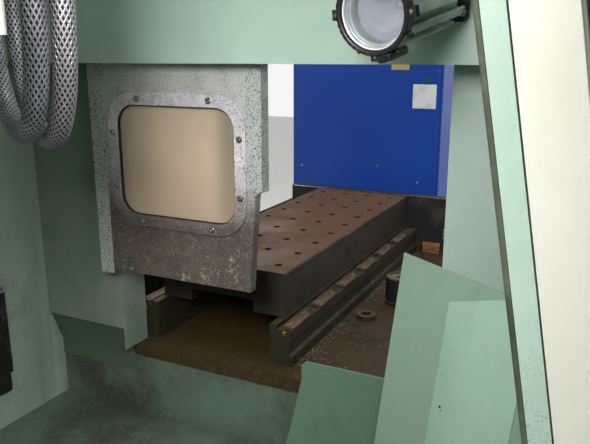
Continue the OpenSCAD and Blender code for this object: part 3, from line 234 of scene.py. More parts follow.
braid = finish("braided_wire", rough=0.42, metal=0.75)
lay = node(braid, "SeparateXYZ", {0: node(braid, "TexCoord").outputs["UV"]})
strands = []
for turn in (1.0, -1.0):
    around = times(braid, lay.outputs[0], 14.0 * turn, clamp=False)
    slope = times(braid, lay.outputs[1], 95.0, clamp=False)
    both = calc(braid, "ADD", around, slope, clamp=False)
    turns = times(braid, both, 2.0 * math.pi, clamp=False)
    strands.append(steps(braid, calc(braid, "SINE", turns, clamp=False), -0.6, 0.9))
weave = calc(braid, "MAXIMUM", strands[0], strands[1])
grime = steps(braid, noise(braid, 26.0, 5.0), 0.35, 0.75)
wire = tint(braid, weave, (56, 54, 58), (206, 202, 210))
into(braid, Base_Color=tint(braid, times(braid, grime, 0.55), wire, (58, 52, 50)),
     Normal=relief(braid, weave, 0.8, 0.0012),
     Roughness=steps(braid, grime, 0.0, 1.0, 0.34, 0.62))

for name, route in (("hose_front", hose_front_route), ("hose_rear", hose_rear_route)):
    way = smooth_route(route, 4)
    length = tube(way, hose_r, 24) * mm
    hose = piece(name + "_jacket", braid, instead=[name])
    print(name, "length", round(length, 4))


# The studio: a plain pale floor, soft lamps above and beside the machine, and
# a white surround that the camera sees, and sees in metal and through glass.
world = bpy.data.worlds.new("studio")
world.use_nodes = True
world.node_tree.nodes.clear()
sky = node(world, "Background", {"Color": (1.0, 1.0, 1.0, 1.0), "Strength": 0.66})
backdrop = node(world, "Background", {"Color": (1.0, 1.0, 1.0, 1.0), "Strength": 0.92})
rays = node(world, "LightPath")
direct = calc(world, "MAXIMUM", rays.outputs["Is Camera Ray"], rays.outputs["Is Transmission Ray"])
seen = calc(world, "MAXIMUM", direct, rays.outputs["Is Glossy Ray"])
shown = node(world, "MixShader", {0: seen, 1: sky.outputs[0], 2: backdrop.outputs[0]})
node(world, "OutputWorld", {"Surface": shown.outputs[0]})
bpy.context.scene.world = world


def lamp(name, place, aim, size, power, spread=180):
    """A soft square lamp that points at a place, its beam as wide as the spread."""
    data = bpy.data.lights.new(name, "AREA")
    data.size = size
    data.energy = power
    data.spread = math.radians(spread)
    made = bpy.data.objects.new(name, data)
    made.location = place
    made.rotation_mode = "QUATERNION"
    made.rotation_quaternion = (Vector(place) - Vector(aim)).to_track_quat("Z", "Y")
    bpy.context.scene.collection.objects.link(made)


lamp("lamp_top", (-0.3, -0.5, 4.6), (0.0, -0.2, 0.9), 3.5, 58)
lamp("lamp_front", (-1.4, -3.8, 2.9), (0.1, -0.1, 1.0), 2.6, 38)
lamp("lamp_side", (4.9, 0.5, 3.2), (0.8, 0.0, 1.0), 2.6, 26)
lamp("lamp_back", (-1.5, 4.4, 3.2), (0.0, 0.0, 1.0), 2.8, 50)
lamp("lamp_inside", (-0.9, -0.72, 1.72), (0.3, -0.1, 0.95), 0.3, 4.8, 88)

floor_mesh = bmesh.new()
bmesh.ops.create_grid(floor_mesh, x_segments=1, y_segments=1, size=14.0)
floor_data = bpy.data.meshes.new("floor")
floor_mesh.to_mesh(floor_data)
floor_mesh.free()
floor = bpy.data.objects.new("floor", floor_data)
bpy.context.scene.collection.objects.link(floor)
pale_floor = finish("pale_floor", rough=0.7)
pale_floor.node_tree.nodes["Principled BSDF"].inputs["Base Color"].default_value = tone((216, 216, 214))
floor_data.materials.append(pale_floor)


# Sheet metal of the enclosure: folded steel in mint green enamel, stained with
# coolant, dotted with dried chips and rubbed dark where hands and chips go.
mint = (180, 204, 188)
mint_dark = (132, 156, 140)
old_coolant = (88, 84, 78)


def coat(mat, colour, under):
    """The slightly uneven look of brushed-out enamel over a darker tone."""
    cloud = steps(mat, noise(mat, 2.2, 3.0), 0.3, 0.7)
    fine = steps(mat, noise(mat, 30.0, 5.0), 0.35, 0.75)
    wide = tint(mat, times(mat, cloud, 0.35), colour, under)
    return tint(mat, times(mat, fine, 0.12), wide, under)


def peel(mat):
    """The orange peel of sprayed paint."""
    return relief(mat, noise(mat, 420.0, 2.0), 0.12, 0.0006)


def chips(mat, scale, low, high, area):
    """Small specks, most of them where area is high."""
    dots = node(mat, "TexVoronoi", {"Vector": spot(mat), "Scale": scale, "Randomness": 1.0})
    core = steps(mat, dots.outputs["Distance"], 0.42, 0.18)
    count = steps(mat, noise(mat, scale * 0.12, 6.0, rough=0.7), low, high)
    return times(mat, times(mat, core, count), area)


def axis_of(mat, index):
    """The place on the piece along one axis, in metres."""
    return node(mat, "SeparateXYZ", {0: node(mat, "TexCoord").outputs["Object"]}).outputs[index]


def height(mat, low, high):
    """0 at one height and 1 at another."""
    return steps(mat, axis_of(mat, 2), low, high)


def enamel(name, colour, under, rough=0.38, grime=0.35, low=0.6, high=1.5, dots=0.0):
    """Enamel with stains that grow downwards and, where asked, dried chips."""
    mat = finish(name, rough=rough)
    paint = coat(mat, colour, under)
    down = height(mat, high, low)
    patch = steps(mat, noise(mat, 5.0, 7.0, rough=0.62), 0.48, 0.72)
    runs = steps(mat, noise(mat, 16.0, 5.0, (1.0, 1.0, 0.12)), 0.52, 0.78)
    stain = times(mat, calc(mat, "MAXIMUM", patch, runs), calc(mat, "ADD", down, 0.25))
    share = times(mat, stain, grime)
    made = tint(mat, share, paint, old_coolant)
    if dots:
        area = times(mat, calc(mat, "ADD", down, 0.12), dots)
        made = tint(mat, chips(mat, 330.0, 0.42, 0.66, area), made, (70, 64, 62))
        made = tint(mat, chips(mat, 290.0, 0.5, 0.7, area), made, (212, 214, 204))
    into(mat, Base_Color=made, Normal=peel(mat), Roughness=steps(mat, share, 0.0, 0.5, rough, rough + 0.3))
    return mat


def dress(mat, *names):
    """Gives a CAD solid its material."""
    for name in names:
        slots = nodes[name].data.materials
        slots.clear()
        slots.append(mat)


mint_enamel = enamel("mint_enamel", mint, mint_dark, grime=0.25, dots=0.3)
dress(mint_enamel, "header_box", "lower_panels")
post_enamel = enamel("mint_enamel_posts", mint, mint_dark, grime=0.25, dots=0.12)
low_half = times(post_enamel, height(post_enamel, 1.24, 1.12), 0.4)
splatter = chips(post_enamel, 300.0, 0.36, 0.6, low_half)
base = post_enamel.node_tree.nodes["Principled BSDF"].inputs["Base Color"].links[0].from_socket
into(post_enamel, Base_Color=tint(post_enamel, splatter, base, (52, 62, 46)))
dress(post_enamel, "front_frame")


def side_wall(name):
    """Enamel that is lighter beside the doors and darker towards the back, painted shade for the light that
    falls off deeper inside the enclosure; low down it carries an oily film and dark specks.
    """
    mat = finish(name, rough=0.4)
    # The paler coat by the doors and the darker coat towards the back are one enamel, lit and in painted
    # shade.
    clean = coat(mat, (190, 208, 196), mint_dark)
    shaded_coat = coat(mat, (122, 142, 124), (92, 110, 94))
    wavy = calc(mat, "ADD", axis_of(mat, 1), times(mat, noise(mat, 3.0), 0.12), clamp=False)
    paint = tint(mat, steps(mat, wavy, -0.62, -0.08), clean, shaded_coat)
    film = steps(mat, noise(mat, 6.0, 7.0, rough=0.65), 0.42, 0.7)
    low = times(mat, film, height(mat, 1.35, 0.95))
    oily_paint = tint(mat, times(mat, low, 0.55), paint, (156, 150, 156))
    specks = chips(mat, 330.0, 0.5, 0.72, calc(mat, "ADD", height(mat, 1.25, 0.9), 0.04))
    into(mat, Base_Color=tint(mat, specks, oily_paint, (58, 56, 50)), Normal=peel(mat),
         Roughness=steps(mat, low, 0.0, 1.0, 0.38, 0.6))
    return mat


dress(side_wall("side_wall_enamel"), "wall_right")
wall_enamel = enamel("mint_enamel_walls", (158, 176, 160), (122, 140, 124), grime=0.4, dots=0.7)
dress(wall_enamel, "back_walls", "wall_left")
plate_enamel = enamel("mint_enamel_plates", (180, 212, 190), (150, 184, 162),
                      grime=0.12, dots=0.12)
dress(plate_enamel, "loose_cover_narrow")
dress(enamel("mint_enamel_wide_plate", (156, 184, 162), (124, 150, 130), grime=0.15, dots=0.12),
      "loose_cover_wide")
sill_enamel = enamel("sill_enamel", (104, 134, 110), (70, 94, 74), grime=0.4, dots=0.3)
dress(sill_enamel, "sill_plate", "station_base")


# The lift shutter: a folded steel door in mint enamel that has caught most of
# the chips, with a frosted window under a steel frame that eight screws hold.
def stand(at, out, up=(0, 0, 1)):
    """A place whose own Z points out and whose own Y points up."""
    z = Vector(out).normalized()
    x = Vector(up).cross(z).normalized()
    turned_to = Matrix((x, z.cross(x), z)).transposed().to_4x4()
    return Matrix.Translation(Vector(at)) @ turned_to


def box(low, high, edge=0.8, place=Matrix(), rounds=2):
    """Adds a block between two corners, its edges rounded."""
    middle = (Vector(low) + Vector(high)) / 2
    size = Vector(high) - Vector(low)
    verts = bmesh.ops.create_cube(shape, size=1.0)["verts"]
    for vert in verts:
        vert.co = place @ (Vector(c * s for c, s in zip(vert.co, size)) + middle)
    edges = list({e for v in verts for e in v.link_edges})
    bmesh.ops.bevel(shape, geom=edges, affect="EDGES", offset=edge, segments=rounds, profile=0.5, material=-1)


def turned(outline, place=Matrix(), sides=32, ring=False):
    """Adds a turned body: radii and heights spun about the place's own Z."""
    part = bmesh.new()
    verts = [part.verts.new((r, 0.0, z)) for r, z in outline]
    edges = [part.edges.new(pair) for pair in zip(verts, verts[1:])]
    if ring:
        edges.append(part.edges.new((verts[-1], verts[0])))
    bmesh.ops.spin(part, geom=verts + edges, cent=(0, 0, 0), axis=(0, 0, 1), angle=2.0 * math.pi,
                   steps=sides, use_merge=True)
    bmesh.ops.remove_doubles(part, verts=part.verts, dist=0.0005)
    part.transform(place)
    data = bpy.data.meshes.new("part")
    part.to_mesh(data)
    part.free()
    shape.from_mesh(data)
    bpy.data.meshes.remove(data)


askew = (0.31, 0.2, 0.93)


def screw(at, out, r):
    """Adds a pan head screw with a socket on its washer."""
    outline = [(0, 0), (1.35, 0), (1.35, 0.18), (1, 0.18), (1, 0.5), (0.85, 0.72), (0.5, 0.8),
               (0.45, 0.35), (0, 0.3)]
    outline = [(r * across, r * up) for across, up in outline]
    turned(outline, stand(at, out, askew), 20)


def screws(make, xs, ys, zs, out, r):
    """Adds a screw or a bolt wherever the given x, y and z cross."""
    for at in [(x, y, z) for x in xs for y in ys for z in zs]:
        make(at, out, r)


def bolt(at, out, r):
    """Adds a hexagon bolt head on its washer."""
    place = stand(at, out, askew)
    turned([(0, 0), (1.35 * r, 0), (1.35 * r, 0.2 * r), (0, 0.2 * r)], place, 24)
    turned([(0, 0.2 * r), (r, 0.2 * r), (r, 0.75 * r), (0.88 * r, 0.85 * r), (0, 0.85 * r)], place, 6)


def path(wide, high, corner, out):
    """Points round a rectangle with round corners, about its middle."""
    arc_steps = 6
    w, h, r = wide / 2 + out, high / 2 + out, corner + out
    points = []
    for i, (x, y) in enumerate(((w - r, h - r), (r - w, h - r), (r - w, r - h), (w - r, r - h))):
        for k in range(arc_steps + 1):
            a = math.radians(90 * i + 90 * k / arc_steps)
            points.append((x + r * math.cos(a), y + r * math.sin(a)))
    return points


def loft(loops, closed=False):
    """Adds a skin over a row of equal loops: a closed hoop, or a body with two caps."""
    rings = []
    for points in loops:
        verts = [shape.verts.new(p) for p in points]
        rings.append([shape.edges.new(pair) for pair in zip(verts, verts[1:] + verts[:1])])
    pairs = list(zip(rings, rings[1:])) + ([(rings[-1], rings[0])] if closed else [])
    for first, second in pairs:
        bmesh.ops.bridge_loops(shape, edges=first + second)
    if not closed:
        for ring in (rings[0], rings[-1]):
            bmesh.ops.contextual_create(shape, geom=ring)


def hoop(wide, high, corner, profile, place, closed=True):
    """Adds a frame round a rounded rectangle; profile holds how far out and how high."""
    loft([[place @ Vector((x, y, up)) for x, y in path(wide, high, corner, out)]
          for out, up in profile], closed)


def lid(wide, high, corner, thick, place, edge=1.0):
    """Adds a plate with round corners and softened edges."""
    profile = [(-edge, 0), (0, edge), (0, thick - edge), (-edge, thick)]
    hoop(wide, high, corner, profile, place, closed=False)


def mottled(name, first, second, cloud, span=None, grain=None, bump=(0.15, 0.0004),
            rough=0.5, metal=0.0, polish=None):
    """Two tones that mix in clouds, where asked with a fine grain and a change of polish."""
    mat = finish(name, rough, metal)
    share = noise(mat, *cloud)
    if span:
        share = steps(mat, share, *span)
    into(mat, Base_Color=tint(mat, share, first, second))
    if grain:
        into(mat, Normal=relief(mat, noise(mat, *grain), *bump))
    if polish:
        into(mat, Roughness=steps(mat, share, 0.0, 1.0, *polish))
    return mat


def corners(name):
    """The lowest and highest corner of a CAD node, in millimetres."""
    return [Vector(v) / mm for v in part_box(name)]


def splash(name, colour, metal, rough, clean, dirty, extra=1.0):
    """Paint or bare steel under thick dried chips, coolant and rust, worst low down."""
    mat = finish(name, rough=rough, metal=metal)
    base = coat(mat, colour, dim(colour, 0.7))
    grey = steps(mat, noise(mat, 9.0, 7.0, rough=0.65), 0.36, 0.62)
    film = tint(mat, times(mat, grey, 0.6), base, (166, 158, 162))
    low = height(mat, clean, dirty)
    rust = steps(mat, noise(mat, 14.0, 8.0, rough=0.72), 0.32, 0.62)
    brown = tint(mat, rust, (32, 27, 20), (72, 56, 38))
    foot = tint(mat, times(mat, low, 0.92), film, brown)
    drops = steps(mat, noise(mat, 34.0, 9.0, rough=0.85), 0.57, 0.63)
    dried = tint(mat, times(mat, drops, calc(mat, "ADD", low, 0.1)), foot, (158, 148, 130))
    area = times(mat, calc(mat, "ADD", height(mat, 1.5, 1.22), 0.35), extra, clamp=False)
    bits = chips(mat, 260.0, 0.34, 0.56, area)
    upper = calc(mat, "SUBTRACT", 1.0, times(mat, low, 0.75))
    pale = chips(mat, 310.0, 0.36, 0.58, times(mat, area, upper))
    made = tint(mat, pale, tint(mat, bits, dried, (52, 46, 46)), (206, 202, 200))
    lumps = calc(mat, "MAXIMUM", bits, calc(mat, "MAXIMUM", pale, times(mat, drops, low)))
    into(mat, Base_Color=made, Roughness=steps(mat, low, 0.0, 1.0, rough, 0.75),
         Normal=relief(mat, lumps, 0.5, 0.0015, peel(mat)))
    return mat


shutter_low = corners("shutter_panel")[0]
pane_low, pane_high = corners("shutter_pane")
pane_hidden = 15.0
opening = (pane_high.y - pane_low.y - pane_hidden, pane_high.z - pane_low.z - pane_hidden, 38.0)
frame_wide = 24.0
pane_middle = (pane_low + pane_high) / 2
at_window = stand((shutter_low.x, pane_middle.y, pane_middle.z), (-1, 0, 0))
dress(splash("shutter_enamel", (196, 200, 194), 0.0, 0.42, 1.26, 1.14), "shutter_panel")
dress(splash("guide_enamel", (176, 190, 180), 0.0, 0.4, 0.3, 0.2, 2.2), "shutter_guides")
frame_skin = splash("shutter_frame_steel", (246, 238, 246), 0.1, 0.4, 1.28, 1.13)
hoop(*opening, [(0.4, 0), (0.4, 4.2), (1.2, 5), (frame_wide - 1.2, 5), (frame_wide, 3.8),
                (frame_wide, 0)], at_window)
piece("window_frame", frame_skin, "shutter", ["shutter_frame"])

bright = mottled("bright_steel", (196, 194, 190), (120, 114, 108), (60.0, 5.0), (0.35, 0.7),
                 (300.0, 3.0), rough=0.3, metal=1.0, polish=(0.24, 0.5))
rubber = mottled("black_rubber", (24, 24, 24), (70, 66, 62), (40.0, 5.0), (0.45, 0.8),
                 (380.0, 3.0), (0.25, 0.0005), rough=0.65)

for x, y in ((80, 118.5), (142.5, 53)):
    for place in [Vector((a, b, 5)) for a in (-x, x) for b in (-y, y)]:
        screw(at_window @ place, (-1, 0, 0), 4.6)
piece("window_screws", bright, "shutter")
hoop(*opening, [(-1.0, -4), (0.2, -4), (0.2, 3.4), (-0.6, 3.4), (-1.0, 2.8)], at_window)
piece("window_seal", rubber, "shutter")

frosted = finish("frosted_pane", rough=0.5)
cloudy = steps(frosted, noise(frosted, 5.0, 4.0), 0.3, 0.75)
fade = steps(frosted, axis_of(frosted, 2), 1.32, 1.14)
plain = tint(frosted, cloudy, (214, 192, 168), (196, 174, 152))
edge_shade = steps(frosted, axis_of(frosted, 1), -0.285, -0.335)
milk = tint(frosted, times(frosted, edge_shade, 0.75), plain, (112, 110, 90))
into(frosted, Base_Color=tint(frosted, times(frosted, fade, 0.5), milk, (156, 134, 114)),
     Normal=relief(frosted, noise(frosted, 260.0, 3.0), 0.1, 0.0005))
dress(frosted, "shutter_pane")


# Closing plates under the overhanging side wall: a sloping chute of folded steel
# between the wall's lower edge and the chip pan, and the strip at its back.
wall_low, wall_high = corners("wall_right")
inner, under = wall_low.x, 860.0
rear_y = wall_high.y - 25.0
pan_lip = corners("station_deck")[0].z
chute_x = corners("lower_panels")[1].x - 39.0


def sheet(outline, low_y, high_y):
    """Adds a sheet bent along an outline in X and Z and as long as low_y to high_y."""
    verts = [shape.verts.new((x, low_y, z)) for x, z in outline]
    edges = [shape.edges.new(pair) for pair in zip(verts, verts[1:])]
    fresh = bmesh.ops.extrude_edge_only(shape, edges=edges)["geom"]
    moved = [g for g in fresh if isinstance(g, bmesh.types.BMVert)]
    bmesh.ops.translate(shape, verts=moved, vec=(0, high_y - low_y, 0))
    faces = [g for g in fresh if isinstance(g, bmesh.types.BMFace)]
    bmesh.ops.solidify(shape, geom=faces, thickness=2.5)


# The chute's dark green is painted shade for the recess under the overhanging wall; the stains and specks on
# it are dirt.
chute_shade_enamel = enamel("chute_enamel_painted_shade", (84, 104, 82), (50, 66, 50), grime=0.45, dots=0.3)
chute = [(inner + 4, under - 0.4), (inner + 18, 820), (chute_x - 3, 780), (chute_x - 3, 742)]
sheet(chute, -10.5, rear_y - 1)
piece("wall_chute", chute_shade_enamel)
box((inner, rear_y, 345), (chute_x + 4, rear_y + 3, under - 0.4), 0.6)
box((chute_x + 3, rear_y, pan_lip + 0.4), (wall_high.x - 4.4, rear_y + 3, under - 0.4), 0.6)
piece("corner_strip", wall_enamel)


# Dark olive strips behind both posts of the front doorway, along their inner
# edges over the whole height of the opening: painted shade for the shadow gap
# between the side walls and the posts.
def roll(angle, axis="Z"):
    """A turn by an angle in degrees."""
    return Matrix.Rotation(math.radians(angle), 4, axis)


def round_about(place, count, start=0):
    """Places turned evenly about a place's own Z, the first by the start in degrees."""
    return [place @ roll(start + 360 / count * i) for i in range(count)]


front_y, front_z, slant = -946.0, 880.0, 10.3
open_left, open_right, middle_x = -1240.0, -200.0, -720.0
at_front = Matrix.Translation((0, front_y, front_z)) @ roll(-slant, "X")
post_gap_shade = mottled("post_gap_painted_shade", (58, 66, 52), (92, 100, 82), (18.0, 6.0), (0.4, 0.75),
                (200.0, 4.0), (0.3, 0.0006), rough=0.6)
for x in (open_right, open_left - 16):
    box((x, 0.4, 12), (x + 16, 6.2, 1150), 1.2, at_front)
piece("post_gap_shadow_strips", post_gap_shade)


# The narrow loose plate leans on the wide one: flat sheet cut by hand, one
# corner cut off at a slant, with a small drilled hole near its left edge.
plate_z, plate_lean, sheet_face = 1128, 8, -2.8
at_plate = Matrix.Translation((235, -652, plate_z)) @ roll(-125.5) @ roll(-plate_lean, "X")
foot_z = corners("loose_cover_narrow")[0].z
loose_foot = (foot_z + 0.2 - plate_z) / math.cos(math.radians(plate_lean)) + 0.3
rim = [(127, -45), (240, -5), (284, -124), (284, -206), (284, loose_foot), (125, loose_foot)]
outline = [shape.verts.new((x, sheet_face, z)) for x, z in rim]
face = bmesh.ops.contextual_create(shape, geom=outline)["faces"]
deep = bmesh.ops.extrude_face_region(shape, geom=face)["geom"]
deep_verts = [g for g in deep if isinstance(g, bmesh.types.BMVert)]
bmesh.ops.translate(shape, verts=deep_verts, vec=(0, 2.3, 0))
bmesh.ops.bevel(shape, geom=list(shape.edges), affect="EDGES", offset=0.5, segments=2, profile=0.5,
                material=-1)
shape.transform(at_plate)
piece("narrow_plate", plate_enamel, instead=["loose_cover_narrow"])
# Black discs on the sheet stand for the drilled hole: painted shade, as the sheet is not cut through.
for x, z, r in ((145.4, -212, 2.6), (149, -216, 1.4), (139, -161, 1.1), (147, -118, 0.9)):
    turned([(0, 0), (r, 0), (r * 0.8, 0.3), (0, 0.35)],
           at_plate @ stand((x, sheet_face, z), (0, -1, 0.001)), 10)
piece("plate_hole_shade", rubber)


# The pallet, the table and their rails: cast iron planed flat, black with oil
# at the sides and brown with an oil film on top.
def oily(name, top, side, rough=0.42, speck=0.3):
    """Machined iron, lighter and browner where it faces up."""
    mat = finish(name, rough=rough, metal=0.15, gloss=0.35)
    up = node(mat, "SeparateXYZ", {0: node(mat, "NewGeometry").outputs["Normal"]}).outputs[2]
    flat = steps(mat, up, 0.6, 0.9)
    cloud = steps(mat, noise(mat, 9.0, 7.0, rough=0.6), 0.3, 0.72)
    smear = steps(mat, noise(mat, 24.0, 6.0, (0.25, 1.0, 1.0), 0.65), 0.4, 0.7)
    sides = tint(mat, cloud, side, dim(side, 0.45))
    tops = tint(mat, smear, tint(mat, cloud, top, dim(top, 0.62)), dim(top, 0.8))
    plain = tint(mat, flat, sides, tops)
    bits = chips(mat, 420.0, 0.5, 0.68, times(mat, calc(mat, "ADD", flat, 0.15), speck))
    made = tint(mat, bits, plain, (176, 166, 150))
    cuts = noise(mat, 60.0, 3.0, (0.05, 14.0, 1.0))
    into(mat, Base_Color=made, Roughness=steps(mat, cloud, 0.0, 1.0, rough - 0.1, rough + 0.2),
         Normal=relief(mat, cuts, 0.15, 0.0006, relief(mat, noise(mat, 90.0, 5.0), 0.2, 0.0008)))
    return mat


pallet_iron = oily("pallet_iron", (106, 74, 42), (54, 48, 42), 0.55, 0.25)
dress(pallet_iron, "pallet")
dress(oily("table_iron", (104, 98, 92), (72, 70, 68)), "table", "table_rails")
dress(oily("rail_iron", (74, 64, 42), (52, 50, 32), 0.55, 0.7), "station_rails")


# Guide pads of bronze along both rails, each held by two bright socket screws,
# with a small brass oil fitting at the front end of each rail.
brass = oily("pad_bronze", (118, 92, 70), (84, 64, 48), 0.4, 0.5)
yellow = mottled("brass_fitting", (212, 178, 96), (128, 96, 52), (90.0, 4.0), (0.4, 0.7),
                 (400.0, 3.0), rough=0.32, metal=0.9)
rails_low, rails_high = corners("station_rails")
pads_low, pads_high = corners("guide_pads")
pad_long, pad_wide, pad_thick, pad_pitch = 92.0, 27.0, 8.0, 147.0
pad_rows = (pads_low.y, pads_high.y - pad_wide)
pad_places = [(pads_low.x + i * pad_pitch, y) for y in pad_rows for i in range(6)]
pads_top = pads_low.z + pad_thick
for x, y in pad_places:
    box((x, y, pads_low.z), (x + pad_long, y + pad_wide, pads_top), 1.6)
piece("rail_pads", brass, instead=["guide_pads"])
dull_iron = oily("dull_screws", (138, 130, 112), (92, 86, 72), 0.45, 0.2)
for x, y in pad_places:
    for off in (9, pad_long - 9):
        screw((x + off, y + pad_wide / 2, pads_top), (0, 0, 1), 6.0)
piece("pad_screws", dull_iron)
for y in (rails_low.y + 16, rails_high.y - 16):
    turned([(0, -6), (3.5, -6), (3.5, 8), (5, 8), (5, 13), (3.5, 15), (0, 15)],
           stand((rails_low.x + 12, y, rails_high.z - 20), (-1, 0, 0.001)), 16)
    turned([(0, 0), (5, 0), (5, 7), (2.6, 9), (2.6, 13), (3.4, 15), (0, 16)],
           stand((rails_low.x - 4, y, rails_high.z - 18), (0, 0, 1), (1, 0, 0)), 16)
piece("oil_fittings", yellow)


# The deck and the chip pans: steel plate under a film of brown oil, with fine
# chips and curled swarf swept along the foot of the rails.
def deck_film(name, colour, under, speck):
    """Brown oil film with chips lying in it."""
    mat = finish(name, rough=0.5, gloss=0.25)
    pool = steps(mat, noise(mat, 4.0, 6.0, rough=0.6), 0.35, 0.7)
    plain = tint(mat, pool, colour, under)
    fine = chips(mat, 520.0, 0.4, 0.66, calc(mat, "ADD", pool, speck))
    made = tint(mat, fine, plain, (150, 138, 116))
    into(mat, Base_Color=made, Roughness=steps(mat, pool, 0.0, 1.0, 0.42, 0.7),
         Normal=relief(mat, fine, 0.5, 0.001, relief(mat, noise(mat, 60.0, 5.0), 0.2, 0.001)))
    return mat


deck_oil = deck_film("deck_oil", (70, 54, 30), (42, 33, 18), 0.12)
dress(deck_oil, "station_deck")
dress(deck_film("pan_oil", (96, 116, 100), (60, 66, 58), 0.5), "chip_pans")

luck = random.Random(7)
deck_low, deck_high = corners("station_deck")
deck_top = rails_low.z
box((deck_high.x - 3, deck_low.y + 3, deck_top + 8),
    (deck_high.x - 0.2, deck_high.y - 3, deck_top + 44), 0.8)
piece("deck_end_lip", deck_oil)
chips_lying = 900
for i in range(chips_lying):
    near_rail = luck.random() < 0.75
    x = luck.uniform(rails_low.x + 10, rails_high.x - 10)
    if near_rail:
        y = rails_low.y - abs(luck.gauss(0, 14)) - 3
    else:
        y = luck.uniform(deck_low.y + 12, rails_low.y - 8)
    long, wide, curl = luck.uniform(2.5, 9.0), luck.uniform(0.8, 2.2), luck.uniform(0.4, 2.6)
    a = luck.uniform(0, 2 * math.pi)
    along, across = Vector((math.cos(a), math.sin(a), 0)), Vector((-math.sin(a), math.cos(a), 0.25))
    foot = Vector((x, y, deck_top + 0.15))
    rows = []
    for k in range(4):
        t = k / 3 - 0.5
        middle = foot + along * long * t + Vector((0, 0, curl * (1 - 4 * t * t)))
        middle += Vector((0, 0, wide / 8))
        rows.append((shape.verts.new(middle - across * wide / 2),
                     shape.verts.new(middle + across * wide / 2)))
    for (a1, b1), (a2, b2) in zip(rows, rows[1:]):
        shape.faces.new((a1, b1, b2, a2))
oily_chips = oily("oily_chips", (128, 112, 84), (70, 58, 42), 0.4, 0.2)
piece("swarf", oily_chips, smooth=80)


# The stop post and the collar on the deck: a turned black post with a shallow
# recess in its top, and a plain turned ring.
post_low, post_high = corners("stop_post")
post_r = 36.0
post_at = Matrix.Translation((post_high.x - post_r, post_low.y + post_r, deck_top))
lacquer_top = oily("post_iron", (128, 112, 96), (38, 36, 36), 0.5, 0.2)
turned([(0, 0), (post_r, 0), (post_r, 8), (post_r - 1.2, 9), (post_r - 1.2, 11), (post_r, 12),
        (post_r, 73.5), (post_r - 2.5, 76), (post_r - 6, 76), (post_r - 7.5, 72.5), (0, 72)], post_at, 64)
turned([(0, 72), (7, 72), (7, 75), (6, 76), (3.2, 76), (2.6, 73), (0, 73)], post_at, 24)
piece("post", lacquer_top, instead=["stop_post"])
turned([(12.5, 1), (13.5, 0), (24, 0), (25, 1), (25, 12), (24, 13), (13.7, 13), (12.5, 11.8)],
       Matrix.Translation((post_low.x + 25, post_high.y - 25, deck_top)), 48, ring=True)
piece("deck_collar", pallet_iron)


# The black plates at the far end and along the back of the deck: lacquered
# sheet steel bolted on tan spacer blocks, with a thin bright steel strip along
# the upper edge as a painted highlight.
def black(name, rough=0.45, dusty=0.5):
    """Black lacquer with dust and rubbed places."""
    mat = finish(name, rough=rough)
    dust = steps(mat, noise(mat, 14.0, 6.0), 0.45, 0.75)
    fleck = chips(mat, 240.0, 0.5, 0.7, 0.5)
    plain = tint(mat, times(mat, dust, dusty), (26, 26, 28), (80, 72, 66))
    into(mat, Base_Color=tint(mat, fleck, plain, (120, 112, 100)),
         Normal=relief(mat, noise(mat, 240.0, 3.0), 0.2, 0.0006))
    return mat


black_lacquer = black("black_lacquer")
dress(black_lacquer, "end_plate")
end_low, end_high = corners("end_plate")
end_x = rails_high.x
screws(bolt, (end_x,), (-482, -300, -90), (893, 869), (-1, 0, 0), 5.0)
piece("end_bolts", bright)
tan_wood = mottled("tan_blocks", (150, 104, 62), (88, 58, 34), (30.0, 6.0, (1.0, 1.0, 4.0)),
                   (0.35, 0.7), (160.0, 4.0), (0.2, 0.0006), rough=0.6)
for y in (-470, -219, -20):
    box((end_x - 1.4, y + 1, deck_top + 0.3), (end_x + 4, y + 59, deck_top + 37.6), 1.0)
piece("spacer_blocks", tan_wood)
# The bright strip along the upper edge is a painted highlight where the edge catches the light.
box((end_x - 1.2, end_low.y + 2, end_high.z - 4), (end_x + 0.5, 78, end_high.z - 1), 0.4)
piece("end_edge_highlight", bright)


# The work lamp: a ribbed aluminium body, a polished reflector in steps behind
# flat glass, and a black ring with screwed lugs, notches and a thumb lever.
pin_low, pin_high = corners("lamp_bracket")
lamp_pivot = Vector((pin_low.x + 13, (pin_low.y + pin_high.y) / 2, (pin_low.z + pin_high.z) / 2))
at_lamp = Matrix.Translation(lamp_pivot) @ roll(169) @ roll(102, "Y")

cast_alloy = mottled("lamp_alloy", (196, 204, 198), (150, 160, 154), (20.0, 6.0), (0.35, 0.7),
                     (220.0, 4.0), (0.15, 0.0005), metal=0.15, polish=(0.34, 0.58))
turned([(9, 12), (9, 23), (26, 23), (34, 25), (38, 29), (40, 34), (40, 150), (41.5, 152), (41.5, 160),
        (40, 162), (40, 174), (37, 174), (16, 66), (0, 64), (0, 12)], at_lamp, 96)
for side in round_about(at_lamp, 12):
    box((38, -1.6, 24), (46, 1.6, 172), 0.7, side)
    box((45, -5.5, 24), (47.4, 5.5, 172), 0.9, side)
turned([(0, -13), (12.6, -13), (13, -12.4), (13, 12.4), (12.6, 13), (0, 13)],
       stand(lamp_pivot, (0, 1, 0)), 48)
piece("lamp_casting", cast_alloy, "lamp", ["lamp_body"])

